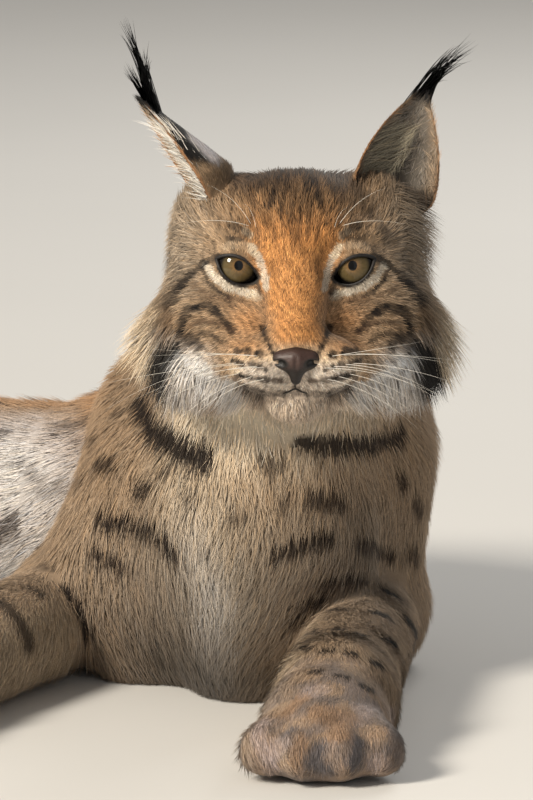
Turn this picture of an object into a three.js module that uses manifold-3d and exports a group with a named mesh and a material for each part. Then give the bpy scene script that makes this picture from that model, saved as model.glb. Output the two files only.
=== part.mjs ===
// Eurasian lynx at rest, life size: breast on the floor, head up, hindquarters rolled on the left side.
// Millimetres, +Z up, the floor at z = 0. The lynx looks towards -Y and its left side is +X.
// The body is one smooth field of swept ovals, parted into named pieces by thin cuts.

import * as THREE from "three";
import { mergeVertices } from "three/addons/utils/BufferGeometryUtils.js";
import Module from "manifold-3d";

const wasm = await Module();
wasm.setup();

// Driving dimensions of the whole animal
const clearance = 0.3; // left between pieces that touch
const cutGrowth = 0.4; // how far a cutting surface is swollen to leave that clearance
const headTilt = THREE.MathUtils.degToRad(10.5); // the face looks up by this much
const eyeMiddle = [34, -130, 290]; // midway between the pupils
const pupilGap = 72;
const eyeRadius = 15;
const eyeDepth = 14; // centre of each eyeball behind the plane of the pupils
const noseWidth = 29;
const seedOfCoat = 20261;

// Joints of the legs, from the trunk down: place and radius of the flesh there.
// Each leg is parted at the joints in cuts, into the pieces named.
const foreLeft = {
  end: "fore",
  pieces: ["upper_arm_left", "forearm_left", "forepaw_left"],
  joints: [
    { at: [80, 10, 140], radius: 44 },
    { at: [84, 35, 40], radius: 38 },
    { at: [60, -190, 31], radius: 37 },
    { at: [53, -226, 28], radius: 34 },
  ],
  cuts: [1, 3],
  paw: { heel: [52, -228, 26], toe: [48, -312, 20], width: 98, height: 50 },
};
const foreRight = {
  end: "fore",
  pieces: ["upper_arm_right", "forearm_right", "forepaw_right"],
  joints: [
    { at: [-52, 12, 132], radius: 46 },
    { at: [-113, 25, 41], radius: 38 },
    { at: [-205, -160, 31], radius: 33 },
    { at: [-220, -194, 27], radius: 30 },
  ],
  cuts: [1, 3],
  paw: { heel: [-222, -196, 26], toe: [-250, -268, 20], width: 94, height: 50 },
};
const hindLeft = {
  end: "hind",
  pieces: ["thigh_left", "shank_left", "hindfoot_left"],
  joints: [
    { at: [-395, 222, 52], radius: 58 },
    { at: [-247, 98, 42], radius: 48 },
    { at: [-410, 8, 30], radius: 27 },
    { at: [-318, -56, 25], radius: 27 },
  ],
  cuts: [1, 2],
  paw: { heel: [-318, -56, 24], toe: [-240, -94, 18], width: 78, height: 44 },
};
const hindRight = {
  end: "hind",
  pieces: ["thigh_right", "shank_right", "hindfoot_right"],
  joints: [
    { at: [-385, 232, 104], radius: 57 },
    { at: [-302, 112, 112], radius: 48 },
    { at: [-478, 66, 44], radius: 28 },
    { at: [-498, -62, 27], radius: 26 },
  ],
  cuts: [1, 2],
  paw: { heel: [-498, -62, 24], toe: [-512, -146, 18], width: 78, height: 44 },
};
const legs = [foreLeft, foreRight, hindLeft, hindRight];

// Stations down the trunk: place, half width, half depth from back to belly, roll on to the left side
const trunkStations = [
  { at: [12, -36, 112], half: [72, 82], roll: 0 },
  { at: [10, 60, 118], half: [92, 118], roll: 0 },
  { at: [-25, 150, 95], half: [88, 100], roll: 20 },
  { at: [-110, 215, 69], half: [72, 80], roll: 50 },
  { at: [-240, 245, 70], half: [70, 85], roll: 65 },
  { at: [-370, 250, 71], half: [72, 85], roll: 78 },
  { at: [-455, 252, 66], half: [50, 60], roll: 80 },
];
const tailStations = [
  { at: [-440, 268, 72], radius: 30 },
  { at: [-520, 300, 38], radius: 27 },
  { at: [-590, 302, 25], radius: 25 },
  { at: [-640, 284, 22], radius: 22 },
];
const sternum = { from: [8, -42, 42], to: [6, 70, 42], radius: 47 };

// Colours and finish of the bare model
const coatTan = new THREE.MeshStandardMaterial({ color: 0xa8926f, roughness: 0.95, metalness: 0 });
const coatGrey = new THREE.MeshStandardMaterial({ color: 0x9a8f7f, roughness: 0.95, metalness: 0 });
const coatPale = new THREE.MeshStandardMaterial({ color: 0xc9bfae, roughness: 0.95, metalness: 0 });
const noseSkin = new THREE.MeshStandardMaterial({ color: 0x5d3a34, roughness: 0.55, metalness: 0 });
const eyeSurface = new THREE.MeshStandardMaterial({ color: 0x6d6238, roughness: 0.1, metalness: 0 });

// Small vector helpers on plain triples
const add = (a, b, s = 1) => [a[0] + b[0] * s, a[1] + b[1] * s, a[2] + b[2] * s];
const sub = (a, b) => [a[0] - b[0], a[1] - b[1], a[2] - b[2]];
const dot = (a, b) => a[0] * b[0] + a[1] * b[1] + a[2] * b[2];
const cross = (a, b) => [
  a[1] * b[2] - a[2] * b[1],
  a[2] * b[0] - a[0] * b[2],
  a[0] * b[1] - a[1] * b[0],
];
const scaled = (a, s) => [a[0] * s, a[1] * s, a[2] * s];
const unit = (a) => scaled(a, 1 / (Math.hypot(...a) || 1));
const mixed = (a, b, t) => add(scaled(a, 1 - t), b, t);
const clamp = (v, low, high) => Math.min(high, Math.max(low, v));

// A repeatable random draw
function randomDraw(seed) {
  let state = seed;
  return () => {
    state = (Math.imul(state, 1664525) + 1013904223) >>> 0;
    return state / 4294967296;
  };
}

// Fields: negative inside, positive outside, in millimetres
function ellipsoid(centre, radii) {
  return (p) => {
    const q = sub(p, centre);
    const near = Math.hypot(q[0] / radii[0], q[1] / radii[1], q[2] / radii[2]);
    const steep = Math.hypot(q[0] / radii[0] ** 2, q[1] / radii[1] ** 2, q[2] / radii[2] ** 2);
    return steep < 1e-9 ? -Math.min(...radii) : (near * (near - 1)) / steep;
  };
}

function taperedRod(from, to, radiusFrom, radiusTo) {
  const axis = sub(to, from);
  const span = dot(axis, axis);
  return (p) => {
    const q = sub(p, from);
    const t = clamp(dot(q, axis) / span, 0, 1);
    return Math.hypot(...add(q, axis, -t)) - (radiusFrom + (radiusTo - radiusFrom) * t);
  };
}

function softMin(a, b, reach) {
  const h = Math.max(reach - Math.abs(a - b), 0) / reach;
  return Math.min(a, b) - (h * h * reach) / 4;
}

function blended(fields, reach) {
  return (p) => fields.reduce((d, field) => softMin(d, field(p), reach), 1e3);
}

// A body swept along stations, oval in section and round at both ends
function sweptOval(stations, stepsBetween = 7) {
  const line = new THREE.CatmullRomCurve3(stations.map((s) => new THREE.Vector3(...s.at)));
  const count = (stations.length - 1) * stepsBetween;
  const rings = [];
  for (let i = 0; i <= count; i++) {
    const place = (i / count) * (stations.length - 1);
    const k = Math.min(Math.floor(place), stations.length - 2);
    const t = place - k;
    const a = stations[k];
    const b = stations[k + 1];
    const heading = unit(line.getTangent(i / count).negate().toArray());
    const left = unit(cross([0, 0, 1], heading));
    const up = cross(heading, left);
    const roll = THREE.MathUtils.degToRad(a.roll + (b.roll - a.roll) * t);
    rings.push({
      at: line.getPoint(i / count).toArray(),
      heading,
      left: add(scaled(left, Math.cos(roll)), up, -Math.sin(roll)),
      back: add(scaled(up, Math.cos(roll)), left, Math.sin(roll)),
      half: [a.half[0] + (b.half[0] - a.half[0]) * t, a.half[1] + (b.half[1] - a.half[1]) * t],
    });
  }
  return (p) => {
    let best = Infinity;
    for (const ring of rings) {
      const q = sub(p, ring.at);
      const least = Math.min(...ring.half);
      const s = [dot(q, ring.left) / ring.half[0], dot(q, ring.back) / ring.half[1]];
      best = Math.min(best, (Math.hypot(...s, dot(q, ring.heading) / least) - 1) * least);
    }
    return best;
  };
}

// Trunk, neck and tail
const trunk = blended(
  [
    sweptOval(trunkStations),
    taperedRod(sternum.from, sternum.to, sternum.radius, sternum.radius),
    ellipsoid([8, -30, 96], [78, 60, 92]),
    ellipsoid([82, 52, 150], [42, 62, 80]),
    ellipsoid([-64, 52, 128], [42, 62, 74]),
    ellipsoid([-68, 2, 58], [54, 42, 64]), // long hair of the breast, down to the floor
  ],
  34,
);
const neckField = taperedRod([33, -60, 255], [20, 30, 165], 75, 94);
const tailField = blended(
  tailStations.slice(1).map((s, i) => taperedRod(tailStations[i].at, s.at, tailStations[i].radius, s.radius)),
  14,
);

// A leg is a chain of tapered rods; its paw is a pad with four toes
function pawField(paw) {
  const ahead = unit(sub(paw.toe, paw.heel));
  const side = unit(cross(ahead, [0, 0, 1]));
  const length = Math.hypot(...sub(paw.toe, paw.heel));
  const pad = taperedRod(paw.heel, add(paw.heel, ahead, length * 0.42), paw.height * 0.58, paw.height * 0.56);
  const toes = [-1.45, -0.5, 0.5, 1.45].map((place) => {
    const back = length * (Math.abs(place) > 1 ? 0.62 : 0.74);
    const base = add(add(paw.heel, ahead, back * 0.7), side, place * paw.width * 0.2);
    const tip = add(add(paw.heel, ahead, back), side, place * paw.width * 0.24);
    return taperedRod([...base.slice(0, 2), paw.height * 0.46], [...tip.slice(0, 2), paw.height * 0.42],
      paw.height * 0.38, paw.height * 0.37);
  });
  return (p) => softMin(pad(p), blended(toes, 4)(p), 16);
}

function legField(leg) {
  const rods = leg.joints.slice(1).map((joint, i) =>
    taperedRod(leg.joints[i].at, joint.at, leg.joints[i].radius, joint.radius));
  const limb = blended(rods, 16);
  const paw = pawField(leg.paw);
  return (p) => softMin(limb(p), paw(p), 14);
}
for (const leg of legs) leg.field = legField(leg);

// Legs melt into the trunk at their roots and only touch it further down
const rootBlend = 34;
const creaseBlend = 6;
const rootReach = 80;
const rest = (p) => softMin(softMin(trunk(p), neckField(p), 32), tailField(p), 18);
function body(p) {
  let d = rest(p);
  for (const leg of legs) {
    const away = Math.hypot(...sub(p, leg.joints[0].at)) / rootReach;
    d = softMin(d, leg.field(p), creaseBlend + (rootBlend - creaseBlend) * Math.exp(-away * away));
  }
  return d;
}

// Surface of a field inside a box, as one closed mesh of cells that may lengthen towards the back
function surfaceOf(field, low, high, cell, lengthening = 1) {
  const ticks = [0, 1, 2].map((axis) => {
    const marks = [low[axis] - cell, low[axis]];
    let step = cell;
    while (marks[marks.length - 1] < high[axis] + cell) {
      marks.push(marks[marks.length - 1] + step);
      if (axis === 1) step *= lengthening;
    }
    return marks;
  });
  const n = ticks.map((marks) => marks.length);
  const at = (i, j, k) => [ticks[0][i], ticks[1][j], ticks[2][k]];
  const index = (i, j, k) => i + n[0] * (j + n[1] * k);
  const value = new Float64Array(n[0] * n[1] * n[2]);
  for (let k = 0; k < n[2]; k++)
    for (let j = 0; j < n[1]; j++)
      for (let i = 0; i < n[0]; i++) {
        const rim = !i || !j || !k || i === n[0] - 1 || j === n[1] - 1 || k === n[2] - 1;
        value[index(i, j, k)] = rim ? Math.max(cell / 2, field(at(i, j, k))) : field(at(i, j, k));
      }
  const points = [];
  const cellPoint = new Map();
  const corners = [0, 1, 2, 3, 4, 5, 6, 7].map((c) => [c & 1, (c >> 1) & 1, (c >> 2) & 1]);
  for (let k = 0; k < n[2] - 1; k++)
    for (let j = 0; j < n[1] - 1; j++)
      for (let i = 0; i < n[0] - 1; i++) {
        const v = corners.map((c) => value[index(i + c[0], j + c[1], k + c[2])]);
        const inside = v.filter((x) => x < 0).length;
        if (inside === 0 || inside === 8) continue;
        let sum = [0, 0, 0];
        let crossings = 0;
        for (let a = 0; a < 8; a++)
          for (const bit of [1, 2, 4]) {
            const b = a | bit;
            if (b === a || v[a] < 0 === v[b] < 0) continue;
            const [from, to] = [corners[a], corners[b]].map((c) => at(i + c[0], j + c[1], k + c[2]));
            sum = add(sum, mixed(from, to, v[a] / (v[a] - v[b])));
            crossings++;
          }
        cellPoint.set(index(i, j, k), points.length);
        points.push(scaled(sum, 1 / crossings));
      }
  // Each point is drawn on to the true surface, unless that would take it out of its cell
  const drawn = points.map((p) => {
    let q = p;
    for (let round = 0; round < 3; round++) {
      const d = field(q);
      const e = 0.5;
      const slope = [0, 1, 2].map((axis) => {
        const r = [...q];
        r[axis] += e;
        return (field(r) - d) / e;
      });
      q = add(q, slope, clamp(-d / Math.max(dot(slope, slope), 0.2), -cell / 3, cell / 3));
    }
    return Math.hypot(...sub(q, p)) < cell * 0.6 ? q : p;
  });
  const faces = [];
  const quad = (a, b, c, d, flip) => {
    const loop = [a, b, c, d].map((key) => cellPoint.get(key));
    if (flip) loop.reverse();
    const spanOf = (s, t) => Math.hypot(...sub(drawn[loop[s]], drawn[loop[t]]));
    if (spanOf(0, 2) < spanOf(1, 3)) faces.push(loop[0], loop[1], loop[2], loop[0], loop[2], loop[3]);
    else faces.push(loop[1], loop[2], loop[3], loop[1], loop[3], loop[0]);
  };
  for (let k = 0; k < n[2] - 1; k++)
    for (let j = 0; j < n[1] - 1; j++)
      for (let i = 0; i < n[0] - 1; i++) {
        const out = value[index(i, j, k)] >= 0;
        if (j && k && out !== value[index(i + 1, j, k)] >= 0)
          quad(index(i, j, k), index(i, j - 1, k), index(i, j - 1, k - 1), index(i, j, k - 1), out);
        if (i && k && out !== value[index(i, j + 1, k)] >= 0)
          quad(index(i, j, k), index(i, j, k - 1), index(i - 1, j, k - 1), index(i - 1, j, k), out);
        if (i && j && out !== value[index(i, j, k + 1)] >= 0)
          quad(index(i, j, k), index(i - 1, j, k), index(i - 1, j - 1, k), index(i, j - 1, k), out);
      }
  const geometry = new THREE.BufferGeometry();
  geometry.setAttribute("position", new THREE.Float32BufferAttribute(drawn.flat(), 3));
  geometry.setIndex(faces);
  return geometry;
}

// A closed ball of rays from a centre, its pole towards -Y, each ray ending on the field's outermost surface
function ballOf(field, centre, segments, rings) {
  const sphere = new THREE.SphereGeometry(1, segments, rings).rotateX(Math.PI / 2);
  sphere.deleteAttribute("uv");
  sphere.deleteAttribute("normal");
  const ball = mergeVertices(sphere, 1e-5);
  const position = ball.getAttribute("position");
  for (let i = 0; i < position.count; i++) {
    const way = new THREE.Vector3().fromBufferAttribute(position, i).toArray();
    position.setXYZ(i, ...add(centre, way, rayReach(field, centre, way)));
  }
  return ball;
}

// How far from a centre the field's outermost surface lies along a ray
function rayReach(field, centre, way, farthest = 220, step = 3) {
  let outer = farthest;
  while (outer > step && field(add(centre, way, outer - step)) > 0) outer -= step;
  let inner = outer - step;
  for (let i = 0; i < 18; i++) {
    const middle = (inner + outer) / 2;
    if (field(add(centre, way, middle)) > 0) outer = middle;
    else inner = middle;
  }
  return inner;
}

// The same mesh with each point moved out along its normal
function swollen(geometry, by) {
  const grown = geometry.clone();
  grown.computeVertexNormals();
  const position = grown.getAttribute("position");
  const normal = grown.getAttribute("normal");
  for (let i = 0; i < position.count; i++)
    position.setXYZ(
      i,
      position.getX(i) + normal.getX(i) * by,
      position.getY(i) + normal.getY(i) * by,
      position.getZ(i) + normal.getZ(i) * by,
    );
  return grown;
}

// Between three.js geometry and solids that can be joined and cut
function solid(geometry) {
  const bare = geometry.clone();
  for (const name of Object.keys(bare.attributes)) if (name !== "position") bare.deleteAttribute(name);
  const merged = mergeVertices(bare, 1e-3);
  const corners = merged.index.array;
  const whole = [];
  for (let i = 0; i < corners.length; i += 3) {
    const [a, b, c] = corners.slice(i, i + 3);
    if (a !== b && b !== c && c !== a) whole.push(a, b, c);
  }
  const made = new wasm.Manifold(
    new wasm.Mesh({
      numProp: 3,
      vertProperties: Float32Array.from(merged.getAttribute("position").array),
      triVerts: Uint32Array.from(whole),
    }),
  );
  return made;
}

function largestOf(shape) {
  const pieces = shape.decompose();
  return pieces.reduce((best, piece) => (piece.volume() > best.volume() ? piece : best), pieces[0]);
}

function geometryOf(shape) {
  const mesh = shape.getMesh();
  const geometry = new THREE.BufferGeometry();
  const places = [];
  for (let i = 0; i < mesh.numVert; i++)
    places.push(...mesh.vertProperties.subarray(i * mesh.numProp, i * mesh.numProp + 3));
  geometry.setAttribute("position", new THREE.Float32BufferAttribute(places, 3));
  geometry.setIndex([...mesh.triVerts]);
  geometry.computeVertexNormals();
  return geometry;
}

// Where two sheets of one surface touch at a point, each is drawn a little way back towards its own side
const drawBack = 0.08;
function unpinched(geometry) {
  const position = geometry.getAttribute("position");
  const at = (i) => [position.getX(i), position.getY(i), position.getZ(i)];
  const sharing = new Map();
  for (let i = 0; i < position.count; i++) {
    const key = at(i).map((v) => Math.round(v * 500)).join();
    sharing.set(key, [...(sharing.get(key) || []), i]);
  }
  const touching = new Set([...sharing.values()].filter((group) => group.length > 1).flat());
  const around = new Map([...touching].map((i) => [i, []]));
  const corners = geometry.index.array;
  for (let i = 0; i < corners.length; i += 3)
    for (const turn of [0, 1, 2]) {
      const [a, b, c] = [0, 1, 2].map((k) => corners[i + ((k + turn) % 3)]);
      if (touching.has(a)) around.get(a).push(at(b), at(c));
    }
  for (const [i, ring] of around) {
    const middle = scaled(ring.reduce((sum, p) => add(sum, p), [0, 0, 0]), 1 / ring.length);
    const way = sub(middle, at(i));
    position.setXYZ(i, ...add(at(i), unit(way), Math.min(drawBack, Math.hypot(...way) / 2)));
  }
  return touching.size;
}

// A solid with its points set on a fine grid, so that no sliver is left, and without loose scraps
const fineGrid = 0.01;
function settled(shape) {
  let geometry = geometryOf(largestOf(shape));
  for (let round = 0; round < 4; round++) {
    const array = geometry.getAttribute("position").array;
    for (let i = 0; i < array.length; i++) array[i] = Math.round(array[i] / fineGrid) * fineGrid;
    geometry = geometryOf(largestOf(solid(geometry)));
    if (!unpinched(geometry)) break;
  }
  return geometry;
}

const lynx = new THREE.Group();
const headGroup = new THREE.Group();
headGroup.position.set(...eyeMiddle);
headGroup.rotation.x = -headTilt;
headGroup.updateMatrix();
lynx.add(headGroup);
const intoHead = headGroup.matrix.clone().invert();

function place(name, shape, material, group = lynx) {
  const mesh = new THREE.Mesh(settled(shape), material);
  mesh.name = name;
  group.add(mesh);
  return mesh;
}

// Head, in its own frame: origin midway between the pupils, -Y forward, +Z up
const bothSides = (make) => [make(1), make(-1)];
const headField = blended(
  [
    ellipsoid([0, 62, 8], [66, 66, 58]),
    ellipsoid([0, 36, 22], [50, 34, 36]),
    ...bothSides((s) => ellipsoid([s * 48, 40, -24], [37, 40, 42])),
    ...bothSides((s) => ellipsoid([s * 53, 54, 10], [29, 36, 33])),
    ...bothSides((s) => ellipsoid([s * 42, 32, -55], [38, 40, 30])),
    taperedRod([0, 9, 2], [0, -27, -46], 24, 17),
    ...bothSides((s) => ellipsoid([s * 19, -19, -61], [23, 24, 19])),
    ellipsoid([0, -9, -85], [18, 16, 12]),
    taperedRod([0, 4, -76], [0, 50, -56], 17, 42),
    ...bothSides((s) => taperedRod([s * 28, 8, -32], [s * 60, 26, -28], 14, 20)),
  ],
  13,
);
const eyeCentre = (s) => [(s * pupilGap) / 2, eyeDepth, 0];
const lidRadius = eyeRadius + 2.6;
const orbits = bothSides((s) => ellipsoid([s * 43, -7, 0], [19, 12, 15]));
const browsAndLids = bothSides((s) => (p) =>
  Math.min(
    ellipsoid(eyeCentre(s), [lidRadius, lidRadius, lidRadius])(p),
    taperedRod([s * 18, 7, 19], [s * 48, 17, 21], 8, 8)(p),
  ));
// The flesh and under-hair of the ruff, half way out to the tips of its locks
const ruffCore = bothSides((s) => ellipsoid([s * 65, 44, -44], [33, 24, 34]));
const earMounds = bothSides((s) => ellipsoid([s * 46, 64, 35], [32, 28, 28]));
const softMax = (a, b, reach) => -softMin(-a, -b, reach);
const skull = (p) => {
  const bare = softMin(headField(p), Math.min(earMounds[0](p), earMounds[1](p)), 20);
  const ruffed = softMin(bare, Math.min(ruffCore[0](p), ruffCore[1](p)), 14);
  const hollowed = softMax(ruffed, -Math.min(orbits[0](p), orbits[1](p)), 14);
  return softMin(hollowed, Math.min(browsAndLids[0](p), browsAndLids[1](p)), 9);
};
const headCentre = [0, 45, -10];
const headCell = 8.5;
const headLengthening = 1.06;
const headShell = surfaceOf(skull, [-105, -60, -110], [105, 140, 90], headCell, headLengthening);
const headGrown = swollen(headShell, cutGrowth);

// Body pieces: the field is meshed piece by piece and parted by planes, and round each leg where it is as
// near to the leg as to the rest of the body
for (const leg of legs) {
  const places = [...leg.joints.map((j) => j.at), leg.paw.toe];
  const widest = 75;
  leg.low = [0, 1, 2].map((k) => Math.min(...places.map((p) => p[k])) - widest);
  leg.high = [0, 1, 2].map((k) => Math.max(...places.map((p) => p[k])) + widest);
  const others = legs.filter((other) => other !== leg);
  const share = (p) => (leg.field(p) - Math.min(rest(p), ...others.map((other) => other.field(p)))) / 2;
  const hull = surfaceOf(share, add(leg.low, [-30, -30, -30]), add(leg.high, [30, 30, 30]), 32);
  leg.hull = solid(hull);
  leg.hullGrown = solid(swollen(hull, cutGrowth));
}

const onFloor = (shape) => shape.trimByPlane([0, 0, 1], 0);
const half = clearance / 2;
function parted(shape, normal, through) {
  const n = unit(normal);
  const offset = dot(n, through);
  return [shape.trimByPlane(n, offset + half), shape.trimByPlane(scaled(n, -1), -offset + half)];
}

// Where the trunk is parted: a point on each cut and the direction of the cut, towards the tail
const neckCut = { at: [24, -12, 208], way: [-0.1, 0.62, -0.78] };
const waistCut = { at: [-75, 195, 80], way: [-0.74, 0.67, 0] };
const loinCut = { at: [-305, 250, 70], way: [-1, 0, 0] };
const tailCut = { at: [-492, 288, 50], way: [-0.84, 0.36, -0.4] };

function trunkPiece(low, high, cell) {
  let piece = onFloor(solid(surfaceOf(body, low, high, cell)));
  for (const leg of legs) piece = piece.subtract(leg.hullGrown);
  return piece;
}
const trunkCell = 32;
const neckShell = surfaceOf(body, [-110, -200, 110], [170, 110, 360], trunkCell);
const neckWhole = onFloor(solid(neckShell));
// The neck ends in a plug inside the head, cut square across
const plugEnd = { at: [33, -77, 272], way: [0.117, -0.7, 0.7] };
const neck = parted(parted(neckWhole, neckCut.way, neckCut.at)[1], plugEnd.way, plugEnd.at)[1];

const front = trunkPiece([-190, -150, -20], [190, 330, 290], trunkCell);
const chest = parted(parted(front, neckCut.way, neckCut.at)[0], waistCut.way, waistCut.at)[1];
const middle = trunkPiece([-380, 60, -20], [40, 380, 240], trunkCell);
const belly = parted(parted(middle, waistCut.way, waistCut.at)[0], loinCut.way, loinCut.at)[1];
const rear = trunkPiece([-560, 60, -20], [-240, 400, 240], trunkCell);
const rump = parted(parted(rear, loinCut.way, loinCut.at)[0], tailCut.way, tailCut.at)[1];
const rearEnd = onFloor(solid(surfaceOf(body, [-690, 200, -20], [-440, 380, 150], 16)));
const tail = parted(rearEnd, tailCut.way, tailCut.at)[0];

place("neck", neck, coatTan);
place("chest", chest, coatTan);
place("belly", belly, coatPale);
place("rump", rump, coatTan);
place("tail", tail, coatTan);

// Each leg is cut square across, or along the fold of a joint that is bent back on itself
const legCell = { fore: 24, hind: 27 };
const footCell = { fore: 12, hind: 16 };
function cutAt(leg, joint) {
  const places = [...leg.joints.map((j) => j.at), leg.paw.toe];
  const before = unit(sub(places[joint], places[joint - 1]));
  const after = unit(sub(places[joint + 1], places[joint]));
  return { at: places[joint], way: unit(add(before, after)) };
}
for (const leg of legs) {
  const [upperCut, footCut] = leg.cuts.map((joint) => cutAt(leg, joint));
  const limb = onFloor(solid(surfaceOf(body, leg.low, leg.high, legCell[leg.end]))).intersect(leg.hull);
  const [lower, upper] = parted(limb, upperCut.way, upperCut.at);
  const footPlaces = [...leg.joints.slice(leg.cuts[1]).map((j) => j.at), leg.paw.toe];
  const reach = leg.paw.width * 0.75;
  const low = [0, 1].map((k) => Math.min(...footPlaces.map((p) => p[k])) - reach);
  const high = [0, 1].map((k) => Math.max(...footPlaces.map((p) => p[k])) + reach);
  const endShell = surfaceOf(body, [...low, -14], [...high, 90], footCell[leg.end]);
  const end = onFloor(solid(endShell)).intersect(leg.hull);
  const foot = parted(end, footCut.way, footCut.at)[0];
  const pieces = [upper, parted(lower, footCut.way, footCut.at)[1], foot];
  const others = legs.filter((other) => other !== leg);
  pieces.forEach((piece, i) => {
    const clear = others.reduce((left, other) => left.subtract(other.hullGrown), piece);
    place(leg.pieces[i], clear, coatGrey);
  });
}

// Eyes in their sockets, with lids round an almond opening
function eyeOpening(s) {
  const [x, , z] = eyeCentre(s);
  const outer = [x + s * 13, z + 4.5];
  const inner = [x - s * 13, z - 7.5];
  const shape = new THREE.Shape();
  shape.moveTo(...outer);
  shape.bezierCurveTo(x + s * 6, z + 8.5, x - s * 7, z + 7.5, ...inner);
  shape.bezierCurveTo(x - s * 8, z - 15, x + s * 9, z - 14.5, ...outer);
  const cut = new THREE.ExtrudeGeometry(shape, { depth: 60, bevelEnabled: false, curveSegments: 8 });
  cut.rotateX(Math.PI / 2);
  cut.translate(0, eyeDepth, 0);
  return cut;
}
const socket = (s, radius) => new THREE.SphereGeometry(radius, 14, 9).translate(...eyeCentre(s));

// Nose leather
const noseField = blended(
  [
    ellipsoid([0, -37, -57], [noseWidth / 2 + 1.5, 11, 7.5]),
    ellipsoid([0, -37, -64], [9, 9, 8]),
  ],
  5,
);
const noseShell = ballOf(noseField, [0, -36, -60], 12, 9);
const noseGrown = solid(swollen(noseShell, cutGrowth));
let nose = solid(noseShell);
for (const s of [1, -1]) {
  const nostril = new THREE.SphereGeometry(1, 8, 5);
  nostril.scale(4.2, 6, 2.6).rotateY(s * 0.35).translate(s * 8.8, -45.5, -61);
  nose = nose.subtract(solid(nostril));
}

// Mouth line: a thin tube sunk along the lips
function tubeAlong(points, radius, steps) {
  const path = new THREE.CatmullRomCurve3(points.map((p) => new THREE.Vector3(...p)));
  const ring = new THREE.Shape();
  ring.absarc(0, 0, radius, 0, 2 * Math.PI);
  return new THREE.ExtrudeGeometry(ring, { steps, extrudePath: path, curveSegments: 2, bevelEnabled: false });
}
const onSkull = (p) => {
  const way = unit(sub(p, headCentre));
  return add(headCentre, way, rayReach(skull, headCentre, way));
};
const lipLine = [
  [-38, -16, -74],
  [-26, -34, -82],
  [-12, -42, -83],
  [0, -45, -79],
  [12, -42, -83],
  [26, -34, -82],
  [38, -16, -74],
];
const philtrumLine = [[0, -45, -71], [0, -45, -80]];
const mouth = solid(tubeAlong(lipLine.map(onSkull), 1.7, 14));
const philtrum = solid(tubeAlong(philtrumLine.map(onSkull), 1.2, 2));

let head = solid(headShell).subtract(noseGrown).subtract(mouth).subtract(philtrum);
for (const s of [1, -1]) {
  head = head.subtract(solid(eyeOpening(s))).subtract(solid(socket(s, eyeRadius + cutGrowth)));
  place(s > 0 ? "eye_left" : "eye_right", solid(socket(s, eyeRadius)), eyeSurface, headGroup);
}
place("nose", nose, noseSkin, headGroup);

// One lock of hair: flat, tapering to a point, bent from its root over a middle point to its tip
function lock(root, middle, tip, face, width, thickness) {
  const curve = new THREE.QuadraticBezierCurve3(...[root, middle, tip].map((p) => new THREE.Vector3(...p)));
  const stations = [0, 0.4, 0.76];
  const spots = [];
  for (const t of stations) {
    const at = curve.getPoint(t).toArray();
    const along = curve.getTangent(t).toArray();
    const side = unit(cross(along, face));
    const out = unit(cross(side, along));
    const wide = (width / 2) * (0.86 + 0.5 * t) * (1 - t ** 2.6);
    const deep = (thickness / 2) * (1 - 0.6 * t);
    spots.push(add(at, side, wide), add(at, out, deep), add(at, side, -wide), add(at, out, -deep));
  }
  spots.push(tip);
  const last = spots.length - 1;
  const faces = [0, 2, 1, 0, 3, 2];
  for (let j = 0; j < stations.length - 1; j++)
    for (let i = 0; i < 4; i++) {
      const [a, b] = [j * 4 + i, j * 4 + ((i + 1) % 4)];
      faces.push(a, b, b + 4, a, b + 4, a + 4);
    }
  for (let i = 0; i < 4; i++) faces.push(last - 4 + i, last - 4 + ((i + 1) % 4), last);
  const geometry = new THREE.BufferGeometry();
  geometry.setAttribute("position", new THREE.Float32BufferAttribute(spots.flat(), 3));
  geometry.setIndex(faces);
  return facingOut(geometry);
}

function facingOut(geometry) {
  if (solid(geometry).volume() < 0) geometry.index.array.reverse();
  return geometry;
}

// The ruff: rows of locks from below each ear, down the cheek and round under the jaw
const draw = randomDraw(seedOfCoat);
const about = (value, spread) => value * (1 + spread * (draw() * 2 - 1));
const ruffLine = [
  { at: [82, 34, 26], lie: [0.35, 0.4, -0.9], length: 26 },
  { at: [86, 30, 4], lie: [0.5, 0.3, -0.8], length: 32 },
  { at: [88, 26, -18], lie: [0.7, 0.25, -0.7], length: 36 },
  { at: [84, 22, -40], lie: [0.75, 0.2, -0.7], length: 38 },
  { at: [74, 18, -58], lie: [0.5, 0.25, -0.85], length: 36 },
  { at: [56, 14, -70], lie: [0.2, 0.45, -0.9], length: 30 },
];
const ruffRows = [
  { count: 7, back: 2, lift: 0.05, width: 33 },
  { count: 6, back: 26, lift: 0.14, width: 36 },
];
const ruffThickness = 4.6;
const rootDepth = 5;
function slopeOf(field, p) {
  return unit([0, 1, 2].map((axis) => {
    const e = [0, 0, 0];
    e[axis] = 0.5;
    return field(add(p, e)) - field(sub(p, e));
  }));
}
function ruffLocks(side) {
  const made = [];
  for (const row of ruffRows)
    for (let i = 0; i < row.count; i++) {
      const place = ((i + 0.3 + 0.4 * draw()) / row.count) * (ruffLine.length - 1);
      const [a, b] = [ruffLine[Math.floor(place)], ruffLine[Math.floor(place) + 1]];
      const t = place % 1;
      const [x, y, z] = add(mixed(a.at, b.at, t), [0, row.back, 0]);
      const foot = onSkull([side * x, y, z]);
      const normal = slopeOf(skull, foot);
      const [across, back, down] = mixed(a.lie, b.lie, t);
      const lie = [side * across, back, down];
      const way = unit(add(lie, normal, -dot(lie, normal)));
      const length = about(a.length + (b.length - a.length) * t, 0.12);
      const root = add(add(foot, normal, -rootDepth), way, -4);
      const middle = add(add(foot, way, length * 0.45), normal, length * (row.lift + 0.12));
      const tip = add(add(foot, unit(add(way, unit(lie), 0.8)), length), normal, length * row.lift);
      made.push(solid(lock(root, middle, tip, normal, about(row.width, 0.12), ruffThickness)));
    }
  return made;
}
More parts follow.
